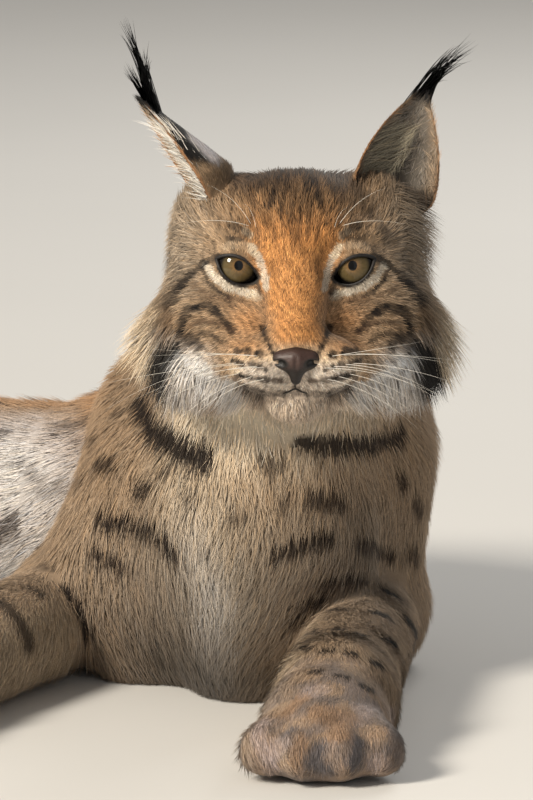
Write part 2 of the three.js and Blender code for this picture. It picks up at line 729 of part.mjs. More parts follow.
const plugGrown = solid(swollen(neckShell, cutGrowth)).trimByPlane(
  scaled(unit(plugEnd.way), -1),
  -dot(unit(plugEnd.way), plugEnd.at) - half,
);
const plugInHead = solid(geometryOf(plugGrown).applyMatrix4(intoHead));
const ruff = [...ruffLocks(1), ...ruffLocks(-1)].reduce((whole, hair) => whole.add(hair), head);
place("head", ruff.subtract(plugInHead), coatTan, headGroup);

// Ears: a leaf rolled into a cup, thick as skin and coat, with tufted tip and hair across the opening
const ears = [
  {
    name: "ear_left",
    inner: [35, 46, 50],
    outer: [86, 56, 36],
    tip: [79, 56, 108],
    open: [0.35, -1, 0.1],
    tufts: [
      { over: [88, 56, 126], tip: [115, 54, 142] },
      { over: [84, 58, 126], tip: [105, 60, 143] },
      { over: [86, 54, 118], tip: [101, 52, 131] },
    ],
    hairs: [[-0.75, 0.12], [-0.65, 0.36], [0.7, 0.14], [0.6, 0.4]],
  },
  {
    name: "ear_right",
    inner: [-36, 50, 54],
    outer: [-82, 62, 38],
    tip: [-97, 60, 105],
    open: [-1, -0.08, 0.1],
    tufts: [
      { over: [-98, 60, 134], tip: [-110, 62, 161] },
      { over: [-94, 60, 124], tip: [-95, 64, 139] },
      { over: [-100, 58, 116], tip: [-107, 58, 130] },
    ],
    hairs: [[-0.75, 0.14], [-0.65, 0.38], [0.7, 0.16], [0.6, 0.42]],
  },
];
const earColumns = 9;
const earRows = 7;
const earSunk = 8;
const earLeaf = (ear) => {
  const base = mixed(ear.inner, ear.outer, 0.5);
  const up = unit(sub(ear.tip, base));
  const openTo = unit(add(ear.open, up, -dot(unit(ear.open), up)));
  const across = unit(cross(openTo, up));
  const halfBase = Math.hypot(...sub(ear.inner, ear.outer)) / 2;
  const height = Math.hypot(...sub(ear.tip, base));
  return (u, w, lift) => {
    const low = 1 + 0.06 * Math.sin(w * 4 * Math.PI);
    const flare = w < 0.25 ? low : Math.cos((w - 0.25) * 0.63 * Math.PI) ** 0.85;
    const curl = 1.75 - 1.0 * w;
    const radius = (halfBase * flare) / Math.sin(Math.min(curl, Math.PI / 2));
    const middle = add(add(base, up, w * height - earSunk * (1 - w)), openTo, radius * Math.cos(curl));
    const r = radius - lift;
    return add(add(middle, across, r * Math.sin(u * curl)), openTo, -r * Math.cos(u * curl));
  };
};
function earShell(ear) {
  const leaf = earLeaf(ear);
  const spots = [];
  for (const face of [1, -1])
    for (let j = 0; j <= earRows; j++)
      for (let i = 0; i <= earColumns; i++) {
        const u = (i / earColumns) * 2 - 1;
        const w = j / earRows;
        const thick = (5.4 - 2.8 * w) * (1 - 0.55 * Math.abs(u) ** 3);
        spots.push(leaf(u, w, (face * thick) / 2));
      }
  const faces = [];
  const spot = (face, i, j) => (face * (earRows + 1) + j) * (earColumns + 1) + i;
  const square = (a, b, c, d) => faces.push(a, b, c, a, c, d);
  for (let j = 0; j < earRows; j++) {
    for (let i = 0; i < earColumns; i++) {
      square(spot(0, i, j), spot(0, i + 1, j), spot(0, i + 1, j + 1), spot(0, i, j + 1));
      square(spot(1, i, j + 1), spot(1, i + 1, j + 1), spot(1, i + 1, j), spot(1, i, j));
    }
    square(spot(1, 0, j), spot(0, 0, j), spot(0, 0, j + 1), spot(1, 0, j + 1));
    const last = [spot(0, earColumns, j), spot(1, earColumns, j)];
    square(...last, last[1] + earColumns + 1, last[0] + earColumns + 1);
  }
  for (let i = 0; i < earColumns; i++) {
    square(spot(0, i + 1, 0), spot(0, i, 0), spot(1, i, 0), spot(1, i + 1, 0));
    square(spot(0, i, earRows), spot(0, i + 1, earRows), spot(1, i + 1, earRows), spot(1, i, earRows));
  }
  const shell = new THREE.BufferGeometry();
  shell.setAttribute("position", new THREE.Float32BufferAttribute(spots.flat(), 3));
  shell.setIndex(faces);
  return solid(facingOut(shell));
}
const headCut = solid(headGrown);
for (const ear of ears) {
  const leaf = earLeaf(ear);
  let whole = earShell(ear);
  const root = leaf(0, 0.86, 0);
  for (const { over, tip } of ear.tufts) whole = whole.add(solid(lock(root, over, tip, [0, 1, 0], 7.5, 5)));
  for (const [u, w] of ear.hairs) {
    const from = leaf(u, w, 1.4);
    const over = leaf(u * 0.75, w + 0.16, 9);
    const tip = leaf(u * 0.6, w + 0.42, 13);
    const face = unit(sub(leaf(u, w, 2), leaf(u, w, 0)));
    whole = whole.add(solid(lock(from, over, tip, face, 9, 2.6)));
  }
  place(ear.name, whole.subtract(headCut), coatGrey, headGroup);
}

lynx.updateMatrixWorld(true);
export default lynx;
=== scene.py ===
# A life-size Eurasian lynx lying on its breast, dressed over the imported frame.
# Shapes are worked out in millimetres in the frame's own axes and turned to metres when a mesh is made.
import bpy
import math
import bmesh
import numpy as np
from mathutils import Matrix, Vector
from mathutils.bvhtree import BVHTree


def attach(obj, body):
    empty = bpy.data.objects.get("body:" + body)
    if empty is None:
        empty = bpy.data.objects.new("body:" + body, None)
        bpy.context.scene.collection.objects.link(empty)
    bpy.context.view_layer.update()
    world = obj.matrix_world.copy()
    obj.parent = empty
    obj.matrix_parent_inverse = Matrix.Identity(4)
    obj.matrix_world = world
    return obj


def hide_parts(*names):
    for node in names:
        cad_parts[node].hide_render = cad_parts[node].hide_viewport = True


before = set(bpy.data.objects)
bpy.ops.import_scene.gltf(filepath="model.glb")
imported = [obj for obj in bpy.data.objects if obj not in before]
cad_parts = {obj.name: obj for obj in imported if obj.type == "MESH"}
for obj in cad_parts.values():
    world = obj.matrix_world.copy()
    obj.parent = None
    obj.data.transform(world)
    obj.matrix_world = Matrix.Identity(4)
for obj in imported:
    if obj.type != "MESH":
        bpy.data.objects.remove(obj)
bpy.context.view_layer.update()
mm = 0.001
draw = np.random.default_rng(20261)

# Camera
photoView = {
    "target": (0.016, -0.100, 0.200),
    "distance": 4.0,
    "elevation": 10.5,
    "lens": 288.0,
    "sensor": 36.0,
    "pixelsPerMetre": 6400.0,
    "centre": (266.5, 400.0),
}


def backwards(view):
    tilt = math.radians(view["elevation"])
    return (0, -math.cos(tilt), math.sin(tilt))


def placed(name, data):
    made = bpy.data.objects.new(name, data)
    bpy.context.scene.collection.objects.link(made)
    return made


def aim(thing, place, way):
    thing.location = place
    thing.rotation_mode = "QUATERNION"
    thing.rotation_quaternion = way.to_track_quat("-Z", "Y")


def makeCamera(view):
    data = bpy.data.cameras.new("photoCamera")
    data.lens = view["lens"]
    data.sensor_width = view["sensor"]
    data.clip_start = 0.1
    data.clip_end = 40.0
    camera = placed("photoCamera", data)
    back = Vector(backwards(view))
    aim(camera, Vector(view["target"]) + back * view["distance"], -back)
    bpy.context.scene.camera = camera


makeCamera(photoView)
print("camera made")


# Fields: negative inside, in millimetres, for arrays of points
def unit(v):
    return v / np.maximum(np.linalg.norm(v, axis=-1, keepdims=True), 1e-9)


def ellipsoid(p, centre, radii):
    q = (p - np.array(centre, np.float32)) / np.array(radii, np.float32)
    near = np.sqrt((q * q).sum(-1))
    steep = np.sqrt(((q / np.array(radii, np.float32)) ** 2).sum(-1))
    return near * (near - 1) / np.maximum(steep, 1e-9)


def rod(p, a, b, radiusA, radiusB):
    a = np.array(a, np.float32)
    axis = np.array(b, np.float32) - a
    q = p - a
    t = np.clip((q @ axis) / (axis @ axis), 0, 1)
    gap = q - t[:, None] * axis
    return np.sqrt((gap * gap).sum(-1)) - (radiusA + (radiusB - radiusA) * t)


def rodsAlong(p, chain):
    return [rod(p, a[0], b[0], a[1], b[1]) for a, b in zip(chain, chain[1:])]


def softMin(a, b, reach):
    h = np.maximum(reach - np.abs(a - b), 0) / reach
    return np.minimum(a, b) - h * h * reach / 4


def softMax(a, b, reach):
    return -softMin(-a, -b, reach)


def blended(fields, reach):
    whole = fields[0]
    for field in fields[1:]:
        whole = softMin(whole, field, reach)
    return whole


def smooth(x, low, high):
    t = np.clip((x - low) / (high - low), 0, 1)
    return t * t * (3 - 2 * t)


def wavy(p, scale, seed=0.0):
    a = np.sin(p @ np.array([1.0, 0.62, 0.35]) / scale + seed)
    b = np.sin(p @ np.array([-0.48, 1.1, 0.57]) / scale * 1.31 + 2.1 * seed + 1.3)
    c = np.sin(p @ np.array([0.33, -0.71, 1.2]) / scale * 0.83 + 0.7 * seed + 4.0)
    return (a + b + c + np.sin(a * 2.3 + b * 1.7 + seed)) / 4


# The body's shape, in the frame's axes
bodyShape = {
    "trunk": [
        ((12, -36, 112), (72, 82), 0),
        ((10, 60, 118), (92, 118), 0),
        ((-25, 150, 95), (88, 100), 20),
        ((-110, 215, 69), (72, 80), 50),
        ((-240, 245, 70), (70, 85), 65),
        ((-370, 250, 71), (72, 85), 78),
        ((-455, 252, 66), (50, 60), 80),
    ],
    "sternum": ((8, -42, 42), (6, 70, 42), 47),
    "breast": ((8, -30, 96), (78, 60, 92)),
    "shoulders": [
        ((82, 52, 150), (42, 62, 80)),
        ((-64, 52, 128), (42, 62, 74)),
        ((-68, 2, 58), (54, 42, 64)),
    ],
    "neck": ((33, -60, 255), (20, 30, 165), 75, 94),
    "tail": [((-440, 268, 72), 30), ((-520, 300, 38), 27), ((-590, 302, 25), 25), ((-640, 284, 22), 22)],
}
bodyBlend = {"trunk": 34, "tail": 14, "leg": 16, "cuff": 12, "toes": 9, "paw": 18}
# Of the paw's length, width or height: where the toes stand, how far each reaches and how thick it is
pawShape = {
    "toes": [(-1.45, 0.62), (-0.5, 0.74), (0.5, 0.74), (1.45, 0.62)],
    "padLength": 0.42, "padStart": 0.58, "padEnd": 0.56,
    "baseAhead": 0.7, "baseSide": 0.2, "tipSide": 0.24, "baseHeight": 0.46, "tipHeight": 0.42,
    "baseThick": 0.38, "tipThick": 0.37, "cuff": (0.42, 0.8, 0.62), "cuffShift": (0, -6, 1),
}
legShapes = {
    "foreLeft": {
        "joints": [((80, 10, 140), 44), ((84, 35, 40), 38), ((60, -190, 31), 37), ((53, -226, 28), 34)],
        "heel": (52, -228, 26), "toe": (48, -312, 20), "width": 98, "height": 50,
    },
    "foreRight": {
        "joints": [
            ((-52, 12, 132), 46), ((-113, 25, 41), 38), ((-205, -160, 31), 33), ((-220, -194, 27), 30),
        ],
        "heel": (-222, -196, 26), "toe": (-250, -268, 20), "width": 94, "height": 50,
    },
    "hindLeft": {
        "joints": [((-395, 222, 52), 58), ((-247, 98, 42), 48), ((-410, 8, 30), 27), ((-318, -56, 25), 27)],
        "heel": (-318, -56, 24), "toe": (-240, -94, 18), "width": 78, "height": 44,
    },
    "hindRight": {
        "joints": [
            ((-385, 232, 104), 57), ((-302, 112, 112), 48), ((-478, 66, 44), 28), ((-498, -62, 27), 26),
        ],
        "heel": (-498, -62, 24), "toe": (-512, -146, 18), "width": 78, "height": 44,
    },
}


def curvePoint(ends, t):
    a, b, c, d = ends
    return 0.5 * (2 * b + (c - a) * t + (2 * a - 5 * b + 4 * c - d) * t**2 + (3 * b - a - 3 * c + d) * t**3)


def trunkRings(stations, steps=7):
    at = np.array([s[0] for s in stations], float)
    ends = np.vstack([2 * at[0] - at[1], at, 2 * at[-1] - at[-2]])
    rings = []
    for k in range(len(stations) - 1):
        a, b, c, d = ends[k:k + 4]
        for j in range(steps + (k == len(stations) - 2)):
            t = j / steps
            place = curvePoint((a, b, c, d), t)
            slope = (c - a) + 2 * (2 * a - 5 * b + 4 * c - d) * t + 3 * (3 * b - a - 3 * c + d) * t**2
            heading = unit(-slope)
            left = unit(np.cross((0, 0, 1), heading))
            up = np.cross(heading, left)
            roll = math.radians(stations[k][2] * (1 - t) + stations[k + 1][2] * t)
            half = np.array(stations[k][1]) * (1 - t) + np.array(stations[k + 1][1]) * t
            turnedLeft = left * math.cos(roll) - up * math.sin(roll)
            backWay = up * math.cos(roll) + left * math.sin(roll)
            least = half.min()
            basis = np.stack([turnedLeft / half[0], backWay / half[1], heading / least])
            rings.append({
                "at": place.astype(np.float32), "heading": heading, "left": turnedLeft, "back": backWay,
                "half": half, "least": least, "basis": basis.astype(np.float32),
            })
    return rings


rings = trunkRings(bodyShape["trunk"])


def ringFields(p):
    values = np.empty((len(rings), len(p)), np.float32)
    for i, ring in enumerate(rings):
        q = (p - ring["at"]) @ ring["basis"].T
        values[i] = (np.sqrt((q * q).sum(-1)) - 1) * ring["least"]
    return values


def pawField(p, leg):
    heel, toe = np.array(leg["heel"], float), np.array(leg["toe"], float)
    length = np.linalg.norm(toe - heel)
    ahead = (toe - heel) / length
    side = unit(np.cross(ahead, (0, 0, 1)))
    high, wide = leg["height"], leg["width"]
    s = pawShape
    pad = rod(p, heel, heel + ahead * length * s["padLength"], high * s["padStart"], high * s["padEnd"])
    toes = []
    for place, part in s["toes"]:
        reach = length * part
        base = heel + ahead * reach * s["baseAhead"] + side * place * wide * s["baseSide"]
        tip = heel + ahead * reach + side * place * wide * s["tipSide"]
        base[2], tip[2] = high * s["baseHeight"], high * s["tipHeight"]
        toes.append(rod(p, base, tip, high * s["baseThick"], high * s["tipThick"]))
    return softMin(pad, blended(toes, bodyBlend["toes"]), bodyBlend["paw"])


def legField(p, leg):
    heel = np.array(leg["heel"], float)
    wide, long, high = pawShape["cuff"]
    radii = (leg["width"] * wide, leg["height"] * long, leg["height"] * high)
    cuff = ellipsoid(p, heel + pawShape["cuffShift"], radii)
    rods = blended(rodsAlong(p, leg["joints"]), bodyBlend["leg"])
    return softMin(softMin(rods, pawField(p, leg), bodyBlend["leg"]), cuff, bodyBlend["cuff"])


def bodyFields(p):
    ends = bodyShape["sternum"]
    trunk = blended(
        [ringFields(p).min(0), rod(p, ends[0], ends[1], ends[2], ends[2]), ellipsoid(p, *bodyShape["breast"])]
        + [ellipsoid(p, *s) for s in bodyShape["shoulders"]], bodyBlend["trunk"])
    neck = rod(p, *bodyShape["neck"])
    tail = blended(rodsAlong(p, bodyShape["tail"]), bodyBlend["tail"])
    fields = {"trunk": trunk, "neck": neck, "tail": tail}
    for name, leg in legShapes.items():
        fields[name] = legField(p, leg)
    return fields


# The head's shape, in its own axes: origin midway between the pupils, -Y forward, +Z up
headPlace = {"origin": (34, -130, 290), "tilt": 10.5, "pupilGap": 72.0, "eyeRadius": 15.0, "eyeDepth": 14.0}
headOrigin = np.array(headPlace["origin"], float)
headCos, headSin = math.cos(math.radians(headPlace["tilt"])), math.sin(math.radians(headPlace["tilt"]))
# p @ headTurn.T turns directions of the head's axes to the frame's
headTurn = np.array([[1, 0, 0], [0, headCos, headSin], [0, -headSin, headCos]])
headMiddle = (0, 45, -10)


def toHead(p):
    return (p - headOrigin) @ headTurn


def fromHead(p):
    return np.asarray(p) @ headTurn.T + headOrigin


def nearerSide(make):
    return np.minimum(make(1), make(-1))


def eyeCentre(side):
    return np.array([side * headPlace["pupilGap"] / 2, headPlace["eyeDepth"], 0.0])


# Forms of the face as the skin has them; each is a centre and radii, or the two ends and radii of a rod
faceForms = {
    "crown": ((0, 62, 8), (66, 66, 58)),
    "forehead": ((0, 36, 22), (50, 34, 36)),
    "cheek": ((48, 40, -24), (37, 40, 42)),
    "temple": ((53, 54, 10), (29, 36, 33)),
    "jowl": ((42, 32, -55), (38, 40, 30)),
    "bridge": ((0, 9, 2), (0, -27, -46), 24, 17),
    "pad": ((19, -19, -61), (23, 24, 19)),
    "chin": ((0, -9, -85), (18, 16, 12)),
    "jaw": ((0, 4, -76), (0, 50, -56), 17, 42),
    "cheekbone": ((28, 8, -32), (60, 26, -28), 14, 20),
    "earMound": ((46, 64, 35), (32, 28, 28)),
    "ruffCore": ((65, 44, -44), (33, 24, 34)),
    "orbit": ((43, -7, 0), (19, 12, 15)),
    "brow": ((18, 7, 19), (48, 17, 21), 8, 8),
    "lidThickness": 3.0,
}
# How softly each form runs into the rest, in millimetres
faceBlend = {"forms": 13, "earMound": 20, "ruffCore": 14, "orbit": 14, "lids": 9}


def mirrored(form, side):
    return tuple(tuple(np.array(v) * (side, 1, 1)) if isinstance(v, tuple) else v for v in form)


def headField(q):
    f = faceForms
    middle = [
        ellipsoid(q, *f["crown"]), ellipsoid(q, *f["forehead"]), rod(q, *f["bridge"]),
        ellipsoid(q, *f["chin"]), rod(q, *f["jaw"]),
    ]
    sides = [ellipsoid(q, *mirrored(f[k], s)) for k in ("cheek", "temple", "jowl", "pad") for s in (1, -1)]
    bones = [rod(q, *mirrored(f["cheekbone"], s)) for s in (1, -1)]
    whole = blended(middle + sides + bones, faceBlend["forms"])
    for name in ("earMound", "ruffCore"):
        both = nearerSide(lambda s: ellipsoid(q, *mirrored(f[name], s)))
        whole = softMin(whole, both, faceBlend[name])
    orbits = nearerSide(lambda s: ellipsoid(q, *mirrored(f["orbit"], s)))
    whole = softMax(whole, -orbits, faceBlend["orbit"])
    lidRadius = headPlace["eyeRadius"] + f["lidThickness"]
    lids = nearerSide(lambda s: np.linalg.norm(q - eyeCentre(s), axis=-1) - lidRadius)
    brows = nearerSide(lambda s: rod(q, *mirrored(f["brow"], s)))
    return softMin(whole, np.minimum(lids, brows), faceBlend["lids"])


# The almond between the lids, seen from the front of each eye
lidShape = {
    "outer": (13.0, 4.5), "inner": (-13.0, -7.5),
    "upper": ((6, 8.5), (-7, 7.5)), "lower": ((-8, -15), (9, -14.5)),
    "around": 34, "behind": 4,
}


def almond(side, steps=16):
    def curve(a, b, c, d):
        t = np.linspace(0, 1, steps, endpoint=False)[:, None]
        return ((1 - t)**3 * np.array(a) + 3 * (1 - t)**2 * t * np.array(b)
                + 3 * (1 - t) * t**2 * np.array(c) + t**3 * np.array(d))
    s = lidShape
    over = curve(s["outer"], s["upper"][0], s["upper"][1], s["inner"])
    under = curve(s["inner"], s["lower"][0], s["lower"][1], s["outer"])
    ring = np.vstack([over, under]) * (side, 1)
    return ring + eyeCentre(side)[[0, 2]]


def polygonField(points, ring):
    a, b = ring, np.roll(ring, -1, 0)
    edge = b - a
    q = points[:, None, :] - a
    t = np.clip((q * edge).sum(-1) / (edge * edge).sum(-1), 0, 1)
    gap = np.sqrt(((q - t[..., None] * edge)**2).sum(-1)).min(1)
    above = (a[:, 1] > points[:, None, 1]) != (b[:, 1] > points[:, None, 1])
    slope = edge[:, 0] / np.where(np.abs(edge[:, 1]) < 1e-6, 1e-6, edge[:, 1])
    crossings = (above & (q[..., 0] < slope * q[..., 1])).sum(1)
    return np.where(crossings % 2 == 1, -gap, gap)


def openings(q):
    whole = np.full(len(q), 50.0)
    for side in (1, -1):
        centre = eyeCentre(side)
        near = np.linalg.norm(q - centre, axis=-1) < lidShape["around"]
        if near.any():
            close = q[near]
            slit = polygonField(close[:, [0, 2]], almond(side))
            prism = np.maximum(slit, close[:, 1] - centre[1] + lidShape["behind"])
            whole[near] = np.minimum(whole[near], prism)
    return whole


def eyeDistance(q):
    return np.min([np.linalg.norm(q - eyeCentre(s), axis=-1) for s in (1, -1)], 0)


def pawShare(p):
    return np.max([smooth(-pawField(p, leg), -16, 0) for leg in legShapes.values()], 0)


# The coat: how deep it lies, how long it is and how close it stands, in millimetres
coatRegions = {
    "trunk": {"depth": 7.0, "length": 18.0, "spacing": 1.42, "width": 0.85, "lift": 0.17},
    "neck": {"depth": 8.0, "length": 19.0, "spacing": 1.36, "width": 0.80, "lift": 0.20},
    "tail": {"depth": 8.0, "length": 18.0, "spacing": 1.7, "width": 1.1, "lift": 0.36},
    "foreLeft": {"depth": 4.0, "length": 10.5, "spacing": 1.14, "width": 0.66, "lift": 0.20},
    "foreRight": {"depth": 4.0, "length": 11.0, "spacing": 1.26, "width": 0.72, "lift": 0.20},
    "hindLeft": {"depth": 5.0, "length": 13.0, "spacing": 1.9, "width": 1.15, "lift": 0.22},
    "hindRight": {"depth": 5.0, "length": 13.0, "spacing": 1.9, "width": 1.15, "lift": 0.22},
}
regionNames = list(coatRegions)
# How much wider the coat stands where the photo does not look
coarserShare = 0.85
# On the face each value is given at the nose and far from it
faceCoat = {
    "depth": (1.2, 6.5), "length": (2.6, 12.5), "spacing": (0.80, 1.32), "width": (0.46, 0.78),
    "lift": (0.18, 0.24),
    "noseTip": (0, -36, -57), "lidShare": 0.35, "chin": ((0, -12, -86), 20.0, 5.5),
}


def shares(fields, reach=14.0):
    stack = np.stack([fields[name] for name in regionNames])
    weight = np.exp(-(stack - stack.min(0)) / reach)
    return weight / weight.sum(0)


def faceAway(q):
    gap = np.linalg.norm((q - np.array(faceCoat["noseTip"])) * (1, 0.9, 1), axis=-1)
    return smooth(gap, 28, 145)


def onFace(q, name):
    away = faceAway(q)
    atNose, farOff = faceCoat[name]
    whole = atNose + (farOff - atNose) * away
    if name in ("depth", "length"):
        whole = whole * (faceCoat["lidShare"] + (1 - faceCoat["lidShare"]) * smooth(eyeDistance(q), 17, 36))
    return whole


skinRule = {
    "neck": 32, "tail": 18, "head": 20, "legNear": 28, "legFar": 6, "legReach": 80, "headReach": 190,
    "pressed": 0.15, "pressedHeights": (4, 32), "floor": 1.2,
}


def skinField(p):
    p = p.astype(np.float32)
    fields = bodyFields(p)
    rest = softMin(fields["trunk"], fields["neck"], skinRule["neck"])
    rest = softMin(rest, fields["tail"], skinRule["tail"])
    for name, leg in legShapes.items():
        away = np.linalg.norm(p - np.array(leg["joints"][0][0], np.float32), axis=-1) / skinRule["legReach"]
        reach = skinRule["legFar"] + skinRule["legNear"] * np.exp(-away * away)
        rest = softMin(rest, fields[name], reach)
    depths = np.array([coatRegions[n]["depth"] for n in regionNames])
    # the coat is pressed flat where the body rests on the floor
    least = skinRule["pressed"]
    pressed = least + (1 - least) * smooth(p[:, 2], *skinRule["pressedHeights"])
    body = rest + depths @ shares(fields) * pressed
    q = toHead(p)
    near = np.linalg.norm(q - headMiddle, axis=-1) < skinRule["headReach"]
    head = np.full(len(p), 60.0)
    close = q[near]
    head[near] = headField(close) + onFace(close, "depth")
    whole = softMin(body, head, skinRule["head"])
    whole[near] = np.maximum(whole[near], -openings(close))
    return np.maximum(whole, skinRule["floor"] - p[:, 2])


# One closed skin from the field, on cells that are small at the face
skinGrid = {
    "low": (-680, -330, -8), "high": (170, 350, 372), "coarse": 5.2,
    "bands": [
        [(-50, -22, 2.4), (-22, 18, 1.25), (18, 48, 2.1), (48, 90, 1.25), (90, 118, 2.4)],
        [(-196, -160, 2.0), (-160, -126, 1.25), (-126, -100, 2.4)],
        [(196, 270, 2.1), (270, 303, 1.25), (303, 322, 2.4)],
    ],
}


def gridTicks(grid):
    ticks = []
    for axis in range(3):
        bands = grid["bands"][axis]
        rows = [np.linspace(a, b, max(int(round((b - a) / step)), 1), endpoint=False) for a, b, step in bands]
        inner = np.concatenate(rows)
        wide = grid["coarse"]
        before = np.arange(bands[0][0] - wide, grid["low"][axis] - wide, -wide)[::-1]
        after = np.arange(bands[-1][1], grid["high"][axis] + wide, wide)
        ticks.append(np.concatenate([before, inner, after]))
    return ticks


def inPieces(function, points, size=150000):
    return np.concatenate([function(points[i:i + size]) for i in range(0, len(points), size)])


def sampledField(field, ticks, skip=4, margin=26.0):
    shape = tuple(len(t) for t in ticks)
    coarse = [np.unique(np.append(np.arange(0, n, skip), n - 1)) for n in shape]
    at = np.stack(np.meshgrid(*[t[c] for t, c in zip(ticks, coarse)], indexing="ij"), -1).reshape(-1, 3)
    rough = inPieces(field, at).reshape([len(c) for c in coarse])
    near = [np.clip(np.searchsorted(c, np.arange(n), side="right") - 1, 0, len(c) - 1)
            for c, n in zip(coarse, shape)]
    value = rough[np.ix_(*near)].astype(np.float32)
    close = np.abs(value) < margin
    places = np.argwhere(close)
    points = np.stack([ticks[a][places[:, a]] for a in range(3)], -1)
    value[close] = inPieces(field, points)
    outside = 9
    value[[0, -1]] = value[:, [0, -1]] = outside
    value[:, :, [0, -1]] = outside
    return value


def slopeAt(field, p, step=0.4):
    slope = np.empty((len(p), 3))
    for axis in range(3):
        shift = np.zeros(3)
        shift[axis] = step
        slope[:, axis] = (inPieces(field, p + shift) - inPieces(field, p - shift)) / (2 * step)
    return slope


def surfaceNet(value, ticks):
    inside = value < 0
    cells = [slice(None, -1), slice(1, None)]
    steps = [(a, b, c) for a in (0, 1) for b in (0, 1) for c in (0, 1)]
    count = sum(inside[cells[a], cells[b], cells[c]].astype(np.int8) for a, b, c in steps)
    active = np.argwhere((count > 0) & (count < 8))
    number = np.full(count.shape, -1, np.int32)
    number[tuple(active.T)] = np.arange(len(active))
    corners = [np.array(step) for step in steps]
    cornerValue = [value[tuple((active + c).T)] for c in corners]
    cornerPlace = [np.stack([ticks[a][active[:, a] + c[a]] for a in range(3)], -1) for c in corners]
    total = np.zeros((len(active), 3))
    met = np.zeros(len(active))
    for a in range(8):
        for bit in (4, 2, 1):
            b = a | bit
            if a == b:
                continue
            crosses = (cornerValue[a] < 0) != (cornerValue[b] < 0)
            change = np.where(crosses, cornerValue[a] - cornerValue[b], 1)
            t = np.where(crosses, cornerValue[a] / change, 0)[:, None]
            total += np.where(crosses[:, None], cornerPlace[a] * (1 - t) + cornerPlace[b] * t, 0)
            met += crosses
    points = total / met[:, None]
    faces = []
    for axis in range(3):
        u, v = [(1, 2), (2, 0), (0, 1)][axis]
        low = [slice(1, -1)] * 3
        low[axis] = slice(None, -1)
        high = list(low)
        high[axis] = slice(1, None)
        here, there = inside[tuple(low)], inside[tuple(high)]
        places = np.argwhere(here != there)
        outward = here[tuple(places.T)]
        start = np.array([1, 1, 1])
        start[axis] = 0
        places = places + start
        stepU, stepV = np.eye(3, dtype=int)[u], np.eye(3, dtype=int)[v]
        loop = np.stack([number[tuple((places - d).T)] for d in (stepU * 0, stepU, stepU + stepV, stepV)], -1)
        loop[~outward] = loop[~outward][:, ::-1]
        faces.append(loop)
    return points, np.vstack(faces)


def meshObject(name, points, faces, shaded=True):
    mesh = bpy.data.meshes.new(name)
    mesh.vertices.add(len(points))
    mesh.vertices.foreach_set("co", (np.asarray(points) * mm).astype(np.float32).ravel())
    mesh.loops.add(faces.size)
    mesh.loops.foreach_set("vertex_index", faces.astype(np.int32).ravel())
    mesh.polygons.add(len(faces))
    mesh.polygons.foreach_set("loop_start", np.arange(0, faces.size, faces.shape[1], dtype=np.int32))
    mesh.polygons.foreach_set("use_smooth", np.full(len(faces), shaded))
    mesh.update(calc_edges=True)
    return placed(name, mesh)


def makeSkinShape(field, grid):
    ticks = gridTicks(grid)
    value = sampledField(field, ticks)
    points, faces = surfaceNet(value, ticks)
    # two steps on to the surface itself, none longer than the limit
    longest = 0.9
    for _ in range(2):
        slope = slopeAt(field, points)
        steep = np.maximum((slope * slope).sum(-1), 0.25)
        shift = -slope * (inPieces(field, points) / steep)[:, None]
        size = np.linalg.norm(shift, axis=-1, keepdims=True)
        points = points + shift * np.minimum(1, longest / np.maximum(size, 1e-6))
    return points, faces, unit(slopeAt(field, points))


skinPoints, skinFaces, skinNormals = makeSkinShape(skinField, skinGrid)
skin = meshObject("skin", skinPoints, skinFaces)
print("skin shaped:", len(skinFaces), "faces")


# Which way the coat lies, and an unwrap of the body by its limbs
chartPlaces = {
    "head": (0, 2), "trunk": (0, 1), "neck": (2, 2), "tail": (2, 1), "foreLeft": (0, 0), "foreRight": (1, 0),
    "hindLeft": (2, 0), "hindRight": (3, 0), "earLeft": (3, 2), "earRight": (3, 1),
}
chartColumns, chartRows, chartRoom = 4, 3, 0.03


def onChart(name, u, v):
    column, row = chartPlaces[name]
    wide = 2 if name in ("head", "trunk") else 1
    room = chartRoom
    return np.stack([(column + (room + (1 - 2 * room) * u) * wide) / chartColumns,
                     (row + room + (1 - 2 * room) * v) / chartRows], -1)


def alongRod(p, a, b):
    a, b = np.array(a, float), np.array(b, float)
    axis = b - a
    t = ((p - a) @ axis) / (axis @ axis)
    way = axis / np.linalg.norm(axis)
    side = unit(np.cross(way, (0.3, 0.2, 1)))
    up = np.cross(side, way)
    q = p - a
    return np.clip(t, 0, 1), np.arctan2(q @ side, q @ up) / (2 * math.pi) + 0.5, way


def trunkPlace(p):
    nearest = ringFields(p).argmin(0)
    wanted = ("at", "left", "back", "heading", "half")
    stack = {k: np.stack([np.asarray(r[k], float) for r in rings])[nearest] for k in wanted}
    q = p - stack["at"]
    across = (q * stack["left"]).sum(-1) / stack["half"][:, 0]
    above = (q * stack["back"]).sum(-1) / stack["half"][:, 1]
    return nearest / (len(rings) - 1), np.arctan2(across, above), -stack["heading"]


def limbPlace(p, chain):
    rods = rodsAlong(p, chain)
    nearest = np.argmin(rods, 0)
    nearness = np.exp(-(np.array(rods) - np.min(rods, 0)) / flowRule["limbBlend"])
    along, round_, way = np.zeros(len(p)), np.zeros(len(p)), np.zeros((len(p), 3))
    for i, (a, b) in enumerate(zip(chain, chain[1:])):
        here = nearest == i
        t, angle, heading = alongRod(p[here], a[0], b[0])
        along[here] = (i + t) / len(rods)
        round_[here] = angle
        way += nearness[i][:, None] * heading
    return along, round_, unit(way)


def lineDistance(p, line):
    best = np.full(len(p), 1e9)
    for a, b in zip(line, line[1:]):
        axis = b - a
        t = np.clip(((p - a) @ axis) / max(axis @ axis, 1e-9), 0, 1)
        best = np.minimum(best, np.linalg.norm(p - a - t[:, None] * axis, axis=-1))
    return best


